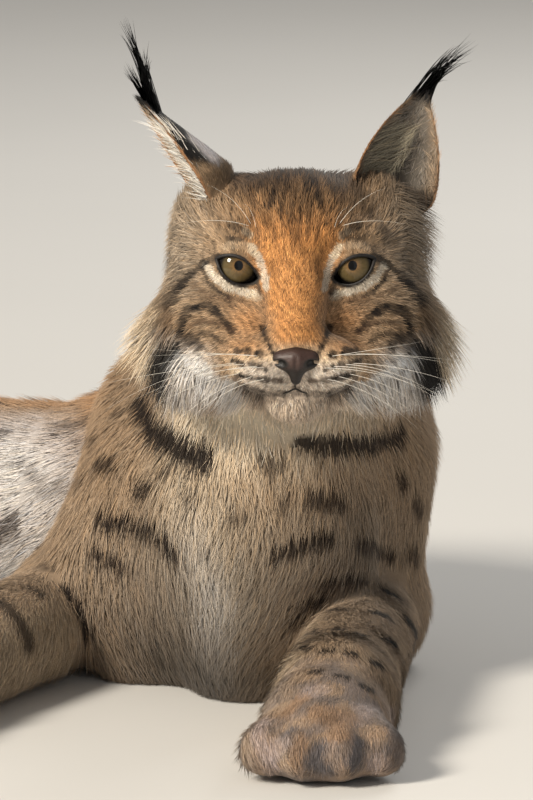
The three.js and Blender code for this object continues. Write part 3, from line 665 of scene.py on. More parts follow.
# Each ear's place in the head's axes, where it opens to, its tufts as a point passed over and an end, and how
# the hair lies over its opening
earShapes = {
    "earLeft": {
        "node": "ear_left", "inner": (35, 46, 50), "outer": (86, 56, 36), "tip": (79, 56, 108),
        "open": (0.35, -1, 0.1), "paleBack": 0.9,
        "tufts": [((88, 56, 126), (115, 54, 141)), ((84, 58, 126), (105, 60, 142)),
                  ((86, 54, 118), (101, 52, 131))],
        "hairIn": 0.75, "hairOut": 0.12, "hairUp": 0.8, "hairSpread": (-0.25, 0.95), "hairFront": 0.2,
    },
    "earRight": {
        "node": "ear_right", "inner": (-36, 50, 54), "outer": (-82, 62, 38), "tip": (-97, 60, 105),
        "open": (-1, -0.08, 0.1), "paleBack": 0.0,
        "tufts": [((-98, 60, 134), (-110, 62, 160)), ((-94, 60, 124), (-95, 64, 138)),
                  ((-100, 58, 116), (-107, 58, 129))],
        "hairIn": 0.1, "hairOut": 0.8, "hairUp": 0.55, "hairSpread": (-0.98, -0.55), "hairFront": 0.9,
    },
}

# The breast's coat runs down and in towards a line; the coat as a whole wanders a little to each side; hair
# hangs by the amount of droop, and on the face it parts from a point on the bridge
flowRule = {
    "middle": -30.0, "reach": 48.0, "turn": 0.55, "wander": 0.22, "wanderScale": 26.0, "trunkDroop": 0.45,
    "legDroop": 0.55, "neckWay": (0, 0.15, -0.7), "parting": (0, -22, -42), "limbBlend": 7,
}
viewBack = np.array(backwards(photoView))


def placeOnBody(p, normals):
    fields = bodyFields(p)
    share = shares(fields)
    q = toHead(p)
    head = headField(q)
    least = np.min([fields[n] for n in regionNames], 0)
    headShare = smooth(least - head, -16, 8)
    lies, charts = {}, {}
    along, angle, way = trunkPlace(p)
    front = smooth(-p[:, 1], -70, 10)[:, None]
    inwards = -np.tanh((p[:, :1] - flowRule["middle"]) / flowRule["reach"]) * flowRule["turn"]
    inwards = inwards * smooth(-p[:, 2:], -210, -60)
    down = np.concatenate([inwards, -0.28 + 0 * inwards, -1 + 0 * inwards], -1)
    lies["trunk"] = unit(way + (0, 0, -flowRule["trunkDroop"])) * (1 - front) + down * front
    charts["trunk"] = (along, angle / (2 * math.pi) + 0.5)
    t, turn, way = alongRod(p, bodyShape["neck"][0], bodyShape["neck"][1])
    lies["neck"] = unit(way + flowRule["neckWay"]) * np.ones((len(p), 1))
    charts["neck"] = (turn, t)
    chains = {"tail": bodyShape["tail"]}
    for name, leg in legShapes.items():
        chains[name] = list(leg["joints"]) + [(leg["toe"], leg["height"] * 0.4)]
    for name, chain in chains.items():
        t, turn, way = limbPlace(p, chain)
        lies[name] = way if name == "tail" else unit(way + (0, 0, -flowRule["legDroop"]))
        charts[name] = (turn, t)
    lie = sum(share[i][:, None] * lies[n] for i, n in enumerate(regionNames))
    e = q - np.array(flowRule["parting"])
    side = np.sign(q[:, 0])[:, None]
    cheek = (smooth(np.abs(q[:, 0]), 26, 60) * smooth(-q[:, 2], -34, 14))[:, None]
    under = smooth(-q[:, 2], 70, 84)[:, None] * smooth(-q[:, 1], -30, 0)[:, None]
    faceLie = unit(e * (1.0, 1.0, 1.1)) + cheek * (side * (0.5, 0, 0) + (0, 0.1, -0.75))
    faceLie = faceLie + under * (0, 0.8, -0.8)
    for ear in earShapes.values():
        ends = np.array([ear["inner"], ear["outer"]], float)
        near = (1 - smooth(lineDistance(q, ends), 12, 30))[:, None]
        faceLie = faceLie * (1 - near) + unit(np.array(ear["tip"]) - ends.mean(0)) * near
    for s in (1, -1):
        out = (q - eyeCentre(s)) * (1, 0, 1)
        near = (1 - smooth(np.linalg.norm(out, axis=-1), 15, 27)) * (q[:, 1] < 24)
        faceLie = faceLie * (1 - near[:, None]) + unit(out) * near[:, None]
    headLie = unit(faceLie) @ headTurn.T
    lie = lie * (1 - headShare[:, None]) + headLie * headShare[:, None]
    lie = unit(lie - (lie * normals).sum(-1, keepdims=True) * normals)
    wander = wavy(p, flowRule["wanderScale"], 2.5) * flowRule["wander"] * (1 - 0.6 * headShare)
    lie = unit(lie + np.cross(normals, lie) * wander[:, None])
    uv = np.zeros((len(p), 2))
    most = share.argmax(0)
    for i, name in enumerate(regionNames):
        here = (most == i) & (headShare < 0.5)
        uv[here] = onChart(name, charts[name][0][here], charts[name][1][here])
    here = headShare >= 0.5
    r = unit(q[here] - headMiddle)
    around, above = np.arctan2(r[:, 0], -r[:, 1]), np.arcsin(np.clip(r[:, 2], -1, 1))
    uv[here] = onChart("head", around / (2 * math.pi) + 0.5, above / math.pi + 0.5)
    return {"share": share, "head": headShare, "local": q, "lie": lie, "uv": uv, "trunkAngle": angle,
            "facing": smooth(normals @ viewBack, -0.15, 0.2),
            "region": np.where(headShare >= 0.5, len(regionNames), most)}


# Colours of the coat and its marks
def tone(red, green, blue):
    c = np.array((red, green, blue)) / 255
    return np.where(c <= 0.04045, c / 12.92, ((c + 0.055) / 1.055)**2.4)


coatTones = {
    "buff": tone(170, 146, 120), "tawny": tone(168, 134, 100), "grey": tone(142, 132, 120),
    "cream": tone(216, 196, 168), "white": tone(236, 232, 228), "rust": tone(212, 146, 84),
    "brown": tone(72, 52, 38), "dark": tone(26, 20, 17), "black": tone(15, 13, 12),
    "legTan": tone(176, 150, 122), "forehead": tone(136, 102, 68), "cheek": tone(158, 132, 104),
    "crown": tone(52, 41, 33), "pawGrey": tone(100, 96, 98), "pawTan": tone(162, 130, 102),
    # throat: pale cream made paler with painted light; shade: painted shade for the lower breast
    "throat": tone(244, 230, 206), "shade": tone(76, 70, 64), "blush": tone(184, 166, 160),
    "eyeBand": tone(222, 208, 188), "earPatch": tone(206, 198, 198), "muzzle": tone(226, 196, 162),
    "temple": tone(150, 138, 122),
}


# Colours every place of a surface with one tone; more tones are then laid over it by weight
def painter(count, base, tones=coatTones):
    colour = np.tile(tones[base], (count, 1))

    def blend(name, weight):
        colour[:] += (tones[name] - colour) * np.clip(weight, 0, 1)[:, None]

    return colour, blend


# Marks of one half of the face as the photo's left half has them, mirrored on the other: in the face's own
# plane, millimetres from the middle and above the pupils, each a line with a half width and a strength
faceMarks = [
    ("eyeBand", [(55, 0.5), (50.5, -6), (43, -12.6), (34, -15.8), (25.5, -17.2)], 2.4, 0.92),
    ("cream", [(27, -17.5), (23, -19)], 3.0, 0.6),
    ("eyeBand", [(23.4, 6.5), (20, -2), (18.4, -9), (18, -14)], 2.2, 0.8),
    ("cream", [(27, 12), (24.5, 7)], 2.4, 0.9),
    ("cream", [(44, 12), (34, 13.5), (27, 11)], 2.6, 0.25),
    ("cream", [(32, 22), (28, 19)], 2.4, 0.5),
    ("dark", [(48, 6), (57, 2.2), (65.5, -6), (71.4, -13)], 1.9, 0.95),
    ("dark", [(70, -11), (75, -19), (78, -24)], 2.6, 0.95),
    ("dark", [(58, -1.5), (54.5, -9.6), (48, -16), (42, -18.9)], 1.0, 1.0),
    ("brown", [(42, -19.4), (33, -22)], 1.2, 0.8),
    ("brown", [(63, -12), (59, -15.8), (47, -19.8), (39, -24.7)], 1.6, 0.6),
    ("brown", [(66, -18), (60, -20.5), (50, -22), (43, -26)], 1.0, 0.45),
    ("dark", [(25, -8), (23.6, -12), (21.5, -17)], 1.3, 0.95),
    ("brown", [(21.5, -18), (20.5, -25)], 2.0, 0.4),
    ("dark", [(39, 25), (34, 22.4), (30, 19.8)], 2.4, 0.85),
    ("dark", [(41.4, 16.8), (33.5, 16.8)], 1.5, 0.8),
    ("brown", [(28, 26), (26, 33)], 1.7, 0.6),
    ("brown", [(44, 24), (48, 34), (54, 42)], 1.8, 0.3),
    ("dark", [(71, -41), (69.4, -33.6), (65.5, -27), (56.6, -24.7), (50, -28)], 2.5, 1.0),
    ("dark", [(50, -28), (43, -35), (38.9, -40)], 1.9, 0.95),
    ("brown", [(64, -37), (57.6, -34.5), (46.8, -36), (38.9, -41)], 1.4, 0.75),
    ("dark", [(64.5, -43.4), (59.6, -49)], 3.2, 0.9),
    ("dark", [(59.6, -41.4), (51.7, -43.4), (45.8, -47.4)], 1.2, 0.7),
    ("dark", [(71.4, -45), (68, -48.5)], 3.0, 0.85),
    ("brown", [(79, -30), (81, -42), (83, -55)], 4.0, 0.55),
    ("black", [(78, -56), (81, -68), (84, -82)], 8.5, 0.97),
    ("black", [(84, -80), (88, -96)], 8.0, 0.97),
    ("white", [(68, -62), (60, -68), (50, -75), (40, -80)], 7.0, 0.8),
    ("cream", [(92, -52), (94, -66)], 5, 0.6),
    ("dark", [(20.4, -38.5), (19.4, -42)], 1.9, 0.95),
    ("dark", [(19.4, -43), (16.2, -50.3), (13.3, -55)], 1.15, 0.95),
    ("dark", [(36.2, -53.3), (35.4, -53.4)], 2.2, 1.0),
    ("dark", [(30.8, -53.2), (30, -53.5)], 2.3, 1.0),
    ("dark", [(22.9, -54.8), (22.2, -55)], 2.2, 1.0),
    ("dark", [(38.3, -59.2), (37.7, -59.4)], 1.7, 1.0),
    ("dark", [(34.5, -60.4), (32.8, -60.9)], 1.8, 1.0),
    ("dark", [(28.3, -61), (27, -61.4)], 1.9, 1.0),
    ("dark", [(23.1, -62.5), (22.3, -62.9)], 1.8, 1.0),
    ("dark", [(18.6, -64), (17.9, -64.3)], 1.5, 1.0),
    ("dark", [(35, -67.6), (31, -68.7)], 1.3, 1.0),
    ("dark", [(28.6, -69.2), (24, -70)], 1.4, 1.0),
    ("dark", [(21.6, -70.4), (16.6, -71)], 1.3, 1.0),
    ("brown", [(14, -71.2), (8.4, -71.2)], 1.1, 0.9),
    ("brown", [(37, -69), (35, -72.5), (31, -76)], 1.5, 0.8),
    ("dark", [(31, -76.2), (26, -78.6), (22, -79.6)], 2.7, 0.85),
    ("dark", [(20, -79.2), (13, -79.6), (7, -79)], 1.5, 0.7),
    ("dark", [(5, -79), (8, -84)], 1.6, 0.55),
    ("brown", [(1.5, -76), (1.5, -80)], 1.4, 0.5),
    ("brown", [(24, -83), (14, -84)], 1.4, 0.45),
    ("dark", [(9.5, 68), (8.4, 56), (12.3, 47), (16.2, 35.4)], 1.9, 0.85),
    ("dark", [(1.5, 66), (1, 56)], 2.0, 0.75),
    ("dark", [(15, 64), (18, 54), (23, 44)], 1.5, 0.55),
    ("dark", [(4.5, 52), (6.5, 44)], 1.7, 0.6),
    ("dark", [(2.4, 38), (3.2, 27)], 1.6, 0.7),
    ("brown", [(1.6, 26), (2.4, 14), (1.5, 8)], 1.3, 0.6),
    ("dark", [(9, 40), (8, 30)], 1.5, 0.65),
    ("brown", [(8, 27), (7, 17)], 1.2, 0.55),
    ("dark", [(18.5, 31), (18, 25)], 1.5, 0.6),
    ("brown", [(13.5, 26), (13, 16)], 1.2, 0.55),
    ("brown", [(23, 22), (22.5, 12)], 1.5, 0.5),
    ("dark", [(26, 58), (28, 48)], 1.7, 0.5),
    ("brown", [(28, 44), (25, 37)], 1.8, 0.5),
    ("brown", [(36, 54), (40, 44)], 1.9, 0.4),
    ("brown", [(6, 4), (6.5, -3)], 1.0, 0.35),
    ("brown", [(13.5, 5), (12.5, -4)], 1.1, 0.35),
]
faceStreaks = {"wide": 0.62, "long": 3.6, "speck": 0.75, "depth": 0.6}
# How far the dark skin reaches round each eye, in millimetres
lidLine = {"over": 0.9, "under": 1.7}

# Marks of the body that the photo shows: lines in its pixels, a half width in millimetres and a strength
bodyMarks = [
    ([(140, 405), (152, 425), (174, 441), (203, 458)], 7.5, 0.95),
    ([(302, 444), (330, 447), (362, 444), (398, 434)], 5.5, 0.85),
    ([(99, 464), (114, 463)], 4.5, 0.8),
    ([(138, 486), (152, 488)], 4.0, 0.8),
    ([(164, 468), (176, 469)], 3.6, 0.6),
    ([(263, 464), (279, 465)], 4.4, 0.6),
    ([(281, 499), (290, 498)], 3.4, 0.5),
    ([(312, 498), (324, 500), (338, 500)], 5.0, 0.7),
    ([(399, 476), (403, 483)], 4.0, 0.7),
    ([(102, 519), (130, 521), (155, 527), (177, 548)], 4.2, 0.95),
    ([(95, 552), (112, 556), (130, 565)], 3.8, 0.85),
    ([(278, 550), (298, 540), (328, 534)], 4.2, 0.85),
    ([(324, 582), (345, 578), (365, 577)], 3.4, 0.8),
    ([(355, 542), (375, 547), (392, 556)], 3.6, 0.8),
    ([(64, 590), (77, 604), (87, 628)], 4.2, 0.95),
    ([(72, 668), (79, 682)], 4.0, 0.9),
    ([(0, 604), (18, 622), (28, 646)], 5.5, 0.6),
    ([(40, 566), (52, 570)], 3.2, 0.6),
    ([(30, 590), (42, 596)], 3.2, 0.6),
    ([(205, 540), (212, 545)], 2.6, 0.4),
    ([(300, 602), (326, 598)], 2.8, 0.95),
    ([(292, 620), (306, 617)], 2.6, 0.95),
    ([(382, 590), (400, 600)], 3.2, 0.95),
    ([(330, 612), (346, 611)], 2.6, 0.95),
    ([(372, 612), (388, 618)], 2.8, 0.95),
    ([(404, 620), (414, 632)], 3.0, 0.95),
    ([(310, 634), (318, 632)], 2.4, 0.95),
    ([(332, 630), (342, 630)], 2.4, 0.95),
    ([(356, 634), (366, 637)], 2.4, 0.95),
    ([(384, 640), (396, 646)], 2.6, 0.95),
    ([(302, 650), (310, 649)], 2.4, 0.9),
    ([(322, 652), (331, 652)], 2.4, 0.9),
    ([(346, 654), (355, 656)], 2.4, 0.9),
    ([(370, 662), (380, 666)], 2.6, 0.9),
    ([(398, 666), (406, 674)], 2.6, 0.9),
    ([(312, 672), (320, 672)], 2.2, 0.9),
    ([(338, 676), (347, 678)], 2.2, 0.9),
    ([(362, 686), (371, 690)], 2.4, 0.9),
    ([(56, 428), (84, 424)], 3.6, 0.4),
    ([(20, 462), (38, 477)], 4.5, 0.35),
    ([(78, 441), (98, 439)], 3.6, 0.45),
    ([(38, 490), (62, 486), (84, 482)], 3.8, 0.35),
    ([(92, 418), (122, 413)], 3.6, 0.5),
    ([(0, 536), (22, 540), (42, 546)], 4.5, 0.4),
    ([(57, 437), (58, 439)], 2.6, 0.9),
    ([(416, 500), (420, 512)], 4.0, 0.6),
    ([(408, 548), (416, 560)], 3.6, 0.6),
    ([(230, 512), (244, 516)], 3.0, 0.4),
    ([(190, 492), (197, 496)], 3.0, 0.4),
]
# Soft patches of the front paw in the photo's pixels: a colour, places and a half width
pawPatches = [
    ("pawGrey", [(322, 748), (312, 762), (330, 770)], 7.0, 0.9),
    ("pawGrey", [(358, 742), (354, 764)], 6.0, 0.9),
    ("pawGrey", [(284, 736), (292, 728)], 4.5, 0.7),
    ("pawTan", [(318, 714), (345, 716), (338, 732)], 9.0, 0.8),
    ("pawTan", [(288, 712), (300, 700)], 8.0, 0.8),
    ("pawTan", [(300, 742), (296, 760)], 6.0, 0.7),
    ("blush", [(362, 712), (392, 718)], 7.0, 0.7),
    ("blush", [(264, 722), (260, 744), (272, 764)], 6.0, 0.7),
    ("brown", [(336, 718), (324, 722)], 4.0, 0.4),
    ("pawGrey", [(388, 752), (394, 764)], 5.0, 0.5),
]
markRule = {
    "wider": 1.15, "brown": 0.85, "dark": 0.95, "faceWider": 0.35, "faceBase": 0.82, "faceChange": 0.28,
}
# Spots where the photo shows nothing; where it does look is a band across its middle
spotRule = {
    "spacing": 30.0, "halfWidth": 4.4, "stretch": 1.7, "strength": 0.9, "tries": 6000,
    "seenMiddle": 16, "seenReach": 172, "lowest": 12,
}

skinTree = BVHTree.FromPolygons((skinPoints * mm).tolist(), skinFaces.tolist())


def photoRay(pixel):
    camera = bpy.context.scene.camera
    turn = camera.rotation_quaternion
    x = (pixel[0] - photoView["centre"][0]) / photoView["pixelsPerMetre"]
    y = (photoView["centre"][1] - pixel[1]) / photoView["pixelsPerMetre"]
    return camera.location.copy(), (turn @ Vector((x, y, -1))).normalized()


def onSkinAt(pixel):
    hit = skinTree.ray_cast(*photoRay(pixel))[0]
    return None if hit is None else np.array(hit) / mm


def seatsOf(line):
    return np.array([seat for seat in map(onSkinAt, line) if seat is not None])


skinPlace = placeOnBody(skinPoints, skinNormals)


# Marks of the photo where it shows the body, and spots drawn at random where it does not
def seatMarks():
    marks = []
    for line, halfWidth, strength in bodyMarks:
        seats = seatsOf(line)
        if len(seats) > 1:
            marks.append({"line": seats, "halfWidth": halfWidth, "strength": strength})
    taken = []
    lies = skinPlace["lie"]
    onPaw = pawShare(skinPoints)
    eye = np.array(bpy.context.scene.camera.location) / mm
    for i in draw.permutation(len(skinPoints))[:spotRule["tries"]]:
        p = skinPoints[i]
        if skinPlace["head"][i] > 0.1 or p[2] < spotRule["lowest"] or onPaw[i] > 0.15:
            continue
        if taken and np.linalg.norm(np.array(taken) - p, axis=-1).min() < spotRule["spacing"]:
            continue
        taken.append(p)
        back = unit(eye - p)
        clear = skinTree.ray_cast(Vector((p + back * 6) * mm), Vector(back))[0] is None
        seen = back @ skinNormals[i] > 0.1 and clear
        if seen and abs(p[0] - spotRule["seenMiddle"]) < spotRule["seenReach"]:
            continue
        length = spotRule["halfWidth"] * spotRule["stretch"] * draw.uniform(0.5, 1.3)
        way = lies[i] * length
        side = np.cross(lies[i], skinNormals[i]) * length * draw.uniform(-0.4, 0.4)
        marks.append({"line": np.array([p - way - side, p, p + way + side]),
                      "halfWidth": spotRule["halfWidth"] * draw.uniform(0.7, 1.2),
                      "strength": spotRule["strength"] * draw.uniform(0.7, 1.1)})
    return marks


marksOnBody = seatMarks()
print("marks seated:", len(marksOnBody))


def markWeight(gap, halfWidth):
    return 1 - smooth(gap, halfWidth * 0.7, halfWidth * 1.3)


def seatPatches():
    return [(name, seatsOf(line), halfWidth, strength) for name, line, halfWidth, strength in pawPatches]


patchesOnPaw = seatPatches()


def bump(x, middle, reach):
    return np.exp(-((x - middle) / reach)**2)


# The body's tones, each laid over those before it; ranges are millimetres of the frame, weights are shares
def bodyColour(p, normals, at):
    share = dict(zip(regionNames, at["share"]))
    x, y, z = p[:, 0], p[:, 1], p[:, 2]
    colour, blend = painter(len(p), "tawny")
    # trunk: tawny back and pale belly
    up = np.cos(at["trunkAngle"]) + 0.12 * wavy(p, 30.0, 3.0)
    rear = smooth(y, 70, 190)
    pale = rear * smooth(-up, -0.55, 0.3)
    blend("buff", rear * smooth(-up, -0.95, -0.35) * 0.75)
    blend("rust", rear * bump(up, 0.62, 0.22) * 0.25)
    blend("blush", rear * smooth(-up, -0.5, 0.0) * 0.8)
    blend("white", pale * 0.9)
    # breast: buff with a pale streak; painted shade makes it greyer and darker below, and darker on the right
    # foreleg's side, where the forelegs shade it
    breast = (1 - smooth(y, 0, 120)) * (1 - 0.5 * share["foreRight"])
    blend("buff", breast * 0.9)
    # painted shade: darker on the right foreleg's side of the breast
    colour *= (1 - 0.12 * breast * smooth(-x, -20, 60))[:, None]
    wave = 8 * np.sin(z / 32)
    streak = bump(x, -22 + wave, 26) + 0.3 * bump(x, 5, 60)
    blend("cream", breast * streak * smooth(-z, -215, -130) * 0.55)
    # painted shade: greyer lower on the breast, and darker still near the floor
    blend("grey", breast * smooth(-z, -165, -80) * 0.7)
    blend("white", breast * bump(x, -24 + wave, 14) * smooth(-z, -165, -60) * 0.4)
    blend("shade", breast * smooth(-z, -100, -15) * 0.9)
    # the throat's pale cream, painted paler still as painted light where the chin shades it
    throat = bump(x, 12, 66) * smooth(-y, 10, 60) * smooth(z, 140, 195)
    blend("throat", throat)
    blend("crown", share["neck"] * (1 - smooth(-y, 0, 60)) * 0.4)
    for name in legShapes:
        w = share[name]
        blend("legTan", w * 0.9)
        inner = normals[:, 0] * (-1 if name.endswith("Left") else 1)
        if name.startswith("hind"):
            inner = -normals[:, 1] * 0.6 - normals[:, 2] * 0.5
        blend("cream", w * smooth(inner, 0.3, 0.95) * 0.6)
    patches = wavy(p, 9.0, 3.0)
    paws = pawShare(p)
    front = smooth(-y, 150, 190) * paws
    blend("pawTan", front * 0.3)
    blend("blush", front * smooth(patches, -0.4, 0.6) * 0.4)
    blend("pawGrey", front * smooth(wavy(p, 6.0, 7.0), -0.25, 0.35) * 0.6)
    blend("pawGrey", (paws - 0.7 * front) * smooth(patches, -0.1, 0.4) * 0.7)
    blend("blush", paws * smooth(-patches, 0.1, 0.6) * 0.5)
    for name, seats, halfWidth, strength in patchesOnPaw:
        near = np.flatnonzero(((p - seats.mean(0))**2).sum(-1) < 50**2)
        weight = np.zeros(len(p))
        gap = lineDistance(p[near], seats) + wavy(p[near], 4.0, 1.0) * 2.4
        weight[near] = strength * (1 - smooth(gap, halfWidth * 0.3, halfWidth * 1.3))
        blend(name, weight)
    blend("black", share["tail"] * smooth(-x, 586, 604))
    colour *= (1 + 0.10 * wavy(p, 22.0) + 0.08 * wavy(p, 6.0, 2.0))[:, None]
    dark = np.zeros(len(p))
    for mark in marksOnBody:
        line, halfWidth = mark["line"], mark["halfWidth"]
        centre = line.mean(0)
        reach = np.linalg.norm(line - centre, axis=-1).max() + halfWidth * 2.2
        near = np.flatnonzero(((p - centre)**2).sum(-1) < reach * reach)
        if len(near):
            gap = lineDistance(p[near], line) + wavy(p[near], 3.0) * 1.1
            weight = mark["strength"] * markWeight(gap, halfWidth * markRule["wider"])
            dark[near] = np.maximum(dark[near], weight)
    blend("brown", dark * markRule["brown"])
    blend("dark", dark * (markRule["dark"] - 0.6 * pale))
    return colour


# The face's tones in its own axes: x from the middle, v above the pupils
def faceColour(p, at):
    q = at["local"]
    x, v = np.abs(q[:, 0]), q[:, 2]
    face, blend = painter(len(p), "cheek")
    blend("temple", smooth(x, 44, 76) * smooth(v, -45, 5) * 0.75)
    blend("forehead", smooth(v, -8, 22) * (1 - smooth(x, 22, 52)) * 0.8)
    blend("crown", smooth(v + 6 * wavy(p, 9.0), 30, 60) * (0.9 - 0.5 * smooth(x, 26, 50)))
    # rust down the middle of the face: the bridge's own colour, and partly a painted pool of warm sunlight
    wide = 10 * smooth(v, -50, 20)
    middle = 1 - smooth(x + 4 * wavy(p, 8.0, 1.0), 8 + wide, 20 + 1.6 * wide)
    blend("rust", middle * smooth(v, -58, -42) * (1 - smooth(v, 12, 42)) * 0.85)
    blend("rust", bump(x, 30, 12) * bump(v, -34, 12) * 0.45)
    blend("muzzle", smooth(-v, 46, 57) * (1 - smooth(x, 34, 48)) * 0.9)
    blend("rust", smooth(-v, 44, 50) * (1 - smooth(-v, 52, 60)) * bump(x, 30, 12) * 0.45)
    blend("white", smooth(-v, 56, 66) * (1 - smooth(x, 28, 42)) * 0.45)
    blend("buff", smooth(-v, 74, 84) * (1 - smooth(x, 20, 34)) * 0.45)
    blend("buff", smooth(x, 36, 48) * smooth(-v, 40, 60) * 0.4)
    blend("white", smooth(x, 44, 62) * smooth(-v + 0.3 * x, 60, 80) * 0.65)
    blend("cream", smooth(x + 3 * wavy(p, 5.0), 80, 92) * smooth(-v, 10, 40) * 0.9)
    streaks = np.stack([q[:, 0] / faceStreaks["wide"], q[:, 1] * 0, v / faceStreaks["long"]], -1)
    over = smooth(v, -30, 0)
    grain = wavy(streaks, 1.0, 3.0) * over + wavy(p, faceStreaks["speck"], 1.0) * (1 - 0.6 * over)
    face *= (1 + faceStreaks["depth"] * grain)[:, None]
    plane = np.stack([x, v], -1)
    front = 1 - smooth(q[:, 1], 66, 96)
    for name, line, halfWidth, strength in faceMarks:
        line = np.array(line, float)
        centre = line.mean(0)
        reach = np.linalg.norm(line - centre, axis=-1).max() + halfWidth * 2.6
        near = np.flatnonzero(((plane - centre)**2).sum(-1) < reach * reach)
        ragged = wavy(p[near], 2.0, halfWidth) * 0.45 * min(halfWidth, 6)
        if name in ("dark", "brown"):
            halfWidth = halfWidth + markRule["faceWider"]
        weight = markWeight(lineDistance(plane[near], line) + ragged, halfWidth)
        if name in ("dark", "brown"):
            weight = weight * (markRule["faceBase"] + markRule["faceChange"] * wavy(p[near], 1.7, 5.0))
        face[near] += (coatTones[name] - face[near]) * (strength * weight * front[near])[:, None]
    for side in (1, -1):
        near = np.flatnonzero((np.linalg.norm(q - eyeCentre(side), axis=-1) < 30) & (q[:, 1] < 20))
        gap = polygonField(q[near][:, [0, 2]], almond(side))
        reach = np.where(v[near] > -1, lidLine["over"], lidLine["under"])
        weight = 0.97 * (1 - smooth(gap, reach * 0.6, reach * 1.5))
        face[near] += (coatTones["black"] - face[near]) * weight[:, None]
    return face * (1 + 0.1 * wavy(p, 4.0, 2.0))[:, None]


def coatColour(p, normals, at):
    colour = bodyColour(p, normals, at)
    behind = smooth(at["local"][:, 1], 78, 125)
    head = at["head"] * (1 - 0.65 * behind)
    return colour + (faceColour(p, at) - colour) * head[:, None]


def setColours(piece, colours, name="coatColour"):
    rgba = np.ones((len(colours), 4), np.float32)
    rgba[:, :3] = np.clip(colours, 0, 1)
    layer = piece.data.color_attributes.new(name, "FLOAT_COLOR", "POINT")
    layer.data.foreach_set("color", rgba.ravel())


skinColours = coatColour(skinPoints, skinNormals, skinPlace)
setColours(skin, skinColours * 0.8)
print("skin coloured")


# Finishes; every texture reads the object's own coordinates
def newMaterial(name, shine):
    material = bpy.data.materials.new(name)
    material.use_nodes = True
    nodes = material.node_tree.nodes
    for socket, value in shine.items():
        nodes["Principled BSDF"].inputs[socket].default_value = value
    return material, nodes, material.node_tree.links, nodes["Principled BSDF"]


def texture(nodes, links, kind, scale, detail=None):
    place = nodes.new("ShaderNodeTexCoord")
    made = nodes.new("ShaderNodeTex" + kind)
    made.inputs["Scale"].default_value = scale
    if detail is not None:
        made.inputs["Detail"].default_value = detail
    links.new(place.outputs["Object"], made.inputs["Vector"])
    return made.outputs["Distance" if kind == "Voronoi" else "Fac"]


# The mesh's own colours, made brighter and darker by a texture
def variedColour(nodes, links, shader, attribute, value, least, most, reach=1.0):
    colour = nodes.new("ShaderNodeAttribute")
    colour.attribute_name = attribute
    bright = nodes.new("ShaderNodeMapRange")
    bright.inputs["From Max"].default_value = reach
    bright.inputs["To Min"].default_value = least
    bright.inputs["To Max"].default_value = most
    links.new(value, bright.inputs["Value"])
    mix = nodes.new("ShaderNodeVectorMath")
    mix.operation = "SCALE"
    links.new(colour.outputs["Color"], mix.inputs[0])
    links.new(bright.outputs["Result"], mix.inputs["Scale"])
    links.new(mix.outputs["Vector"], shader.inputs["Base Color"])


def twoTones(nodes, links, shader, value, dark, pale, low=0.0, high=1.0):
    ramp = nodes.new("ShaderNodeValToRGB")
    for element, colour, place in zip(ramp.color_ramp.elements, (dark, pale), (low, high)):
        element.color = (*colour, 1)
        element.position = place
    links.new(value, ramp.inputs["Fac"])
    links.new(ramp.outputs["Color"], shader.inputs["Base Color"])


def dented(nodes, links, shader, height, strength, distance, inward=False):
    dents = nodes.new("ShaderNodeBump")
    dents.inputs["Strength"].default_value = strength
    dents.inputs["Distance"].default_value = distance
    dents.invert = inward
    links.new(height, dents.inputs["Height"])
    links.new(dents.outputs["Normal"], shader.inputs["Normal"])


coatFinish = {"grain": 1100.0, "variation": 0.2, "softness": 0.66, "dents": (0.35, 0.0008)}
coatShine = {"Roughness": 0.7, "Specular IOR Level": 0.18, "Sheen Weight": 0.08}


def coatMaterial(name, darken=1.0):
    material, nodes, links, shader = newMaterial(name, coatShine)
    grain = texture(nodes, links, "Noise", coatFinish["grain"], 2.0)
    change = coatFinish["variation"]
    variedColour(nodes, links, shader, "coatColour", grain, darken * (1 - change), darken * (1 + change))
    dented(nodes, links, shader, grain, *coatFinish["dents"])
    return material


coatLook = coatMaterial("coat")
skinLook = coatMaterial("skinUnderCoat", 0.8)
skin.data.materials.append(skinLook)


def finish(piece, slot, *nodes):
    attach(piece, "root")
    if nodes:
        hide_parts(*nodes)
    return piece


bodyNodes = [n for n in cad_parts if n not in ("nose", "eye_left", "eye_right", "ear_left", "ear_right")]
finish(skin, "body_coat", *bodyNodes)


# Tufts of the coat: closed blades of three sides that taper to a point
def strandFaces(segments):
    corners = [(0, 2, 1)]
    for a in range(0, 3 * (segments - 1), 3):
        for u, v in ((0, 1), (1, 2), (2, 0)):
            corners += [(a + u, a + v, a + 3 + v), (a + u, a + 3 + v, a + 3 + u)]
    a = 3 * (segments - 1)
    return np.array(corners + [(a, a + 1, a + 3), (a + 1, a + 2, a + 3), (a + 2, a, a + 3)])


def bladePiece(name, slot, points, normals, shades, centres, segments):
    n, per = points.shape[:2]
    corners = strandFaces(segments)
    faces = (corners[None] + (np.arange(n) * per)[:, None, None]).reshape(-1, 3)
    piece = meshObject(name, points.reshape(-1, 3), faces)
    soft = piece.data.attributes.new("custom_normal", "FLOAT_VECTOR", "POINT")
    soft.data.foreach_set("vector", normals.astype(np.float32).ravel())
    setColours(piece, shades.reshape(-1, 3))
    patch = [(x, 2 * j / segments - 1 + 0.3 * (x == 0)) for j in range(segments) for x in (-1, 1, 0)]
    flat = centres[:, None, :] + np.array(patch + [(0, 1)])[None] * patchHalf
    layer = piece.data.uv_layers.new(name="OFBake")
    layer.data.foreach_set("uv", flat.reshape(-1, 2)[faces.ravel()].astype(np.float32).ravel())
    piece.data.materials.append(coatLook)
    coatCount.append(len(faces))
    return finish(piece, slot)


coatCount = []
mostTriangles = 195000
# Half the size of a tuft's patch on the unwrap
patchHalf = 0.0015


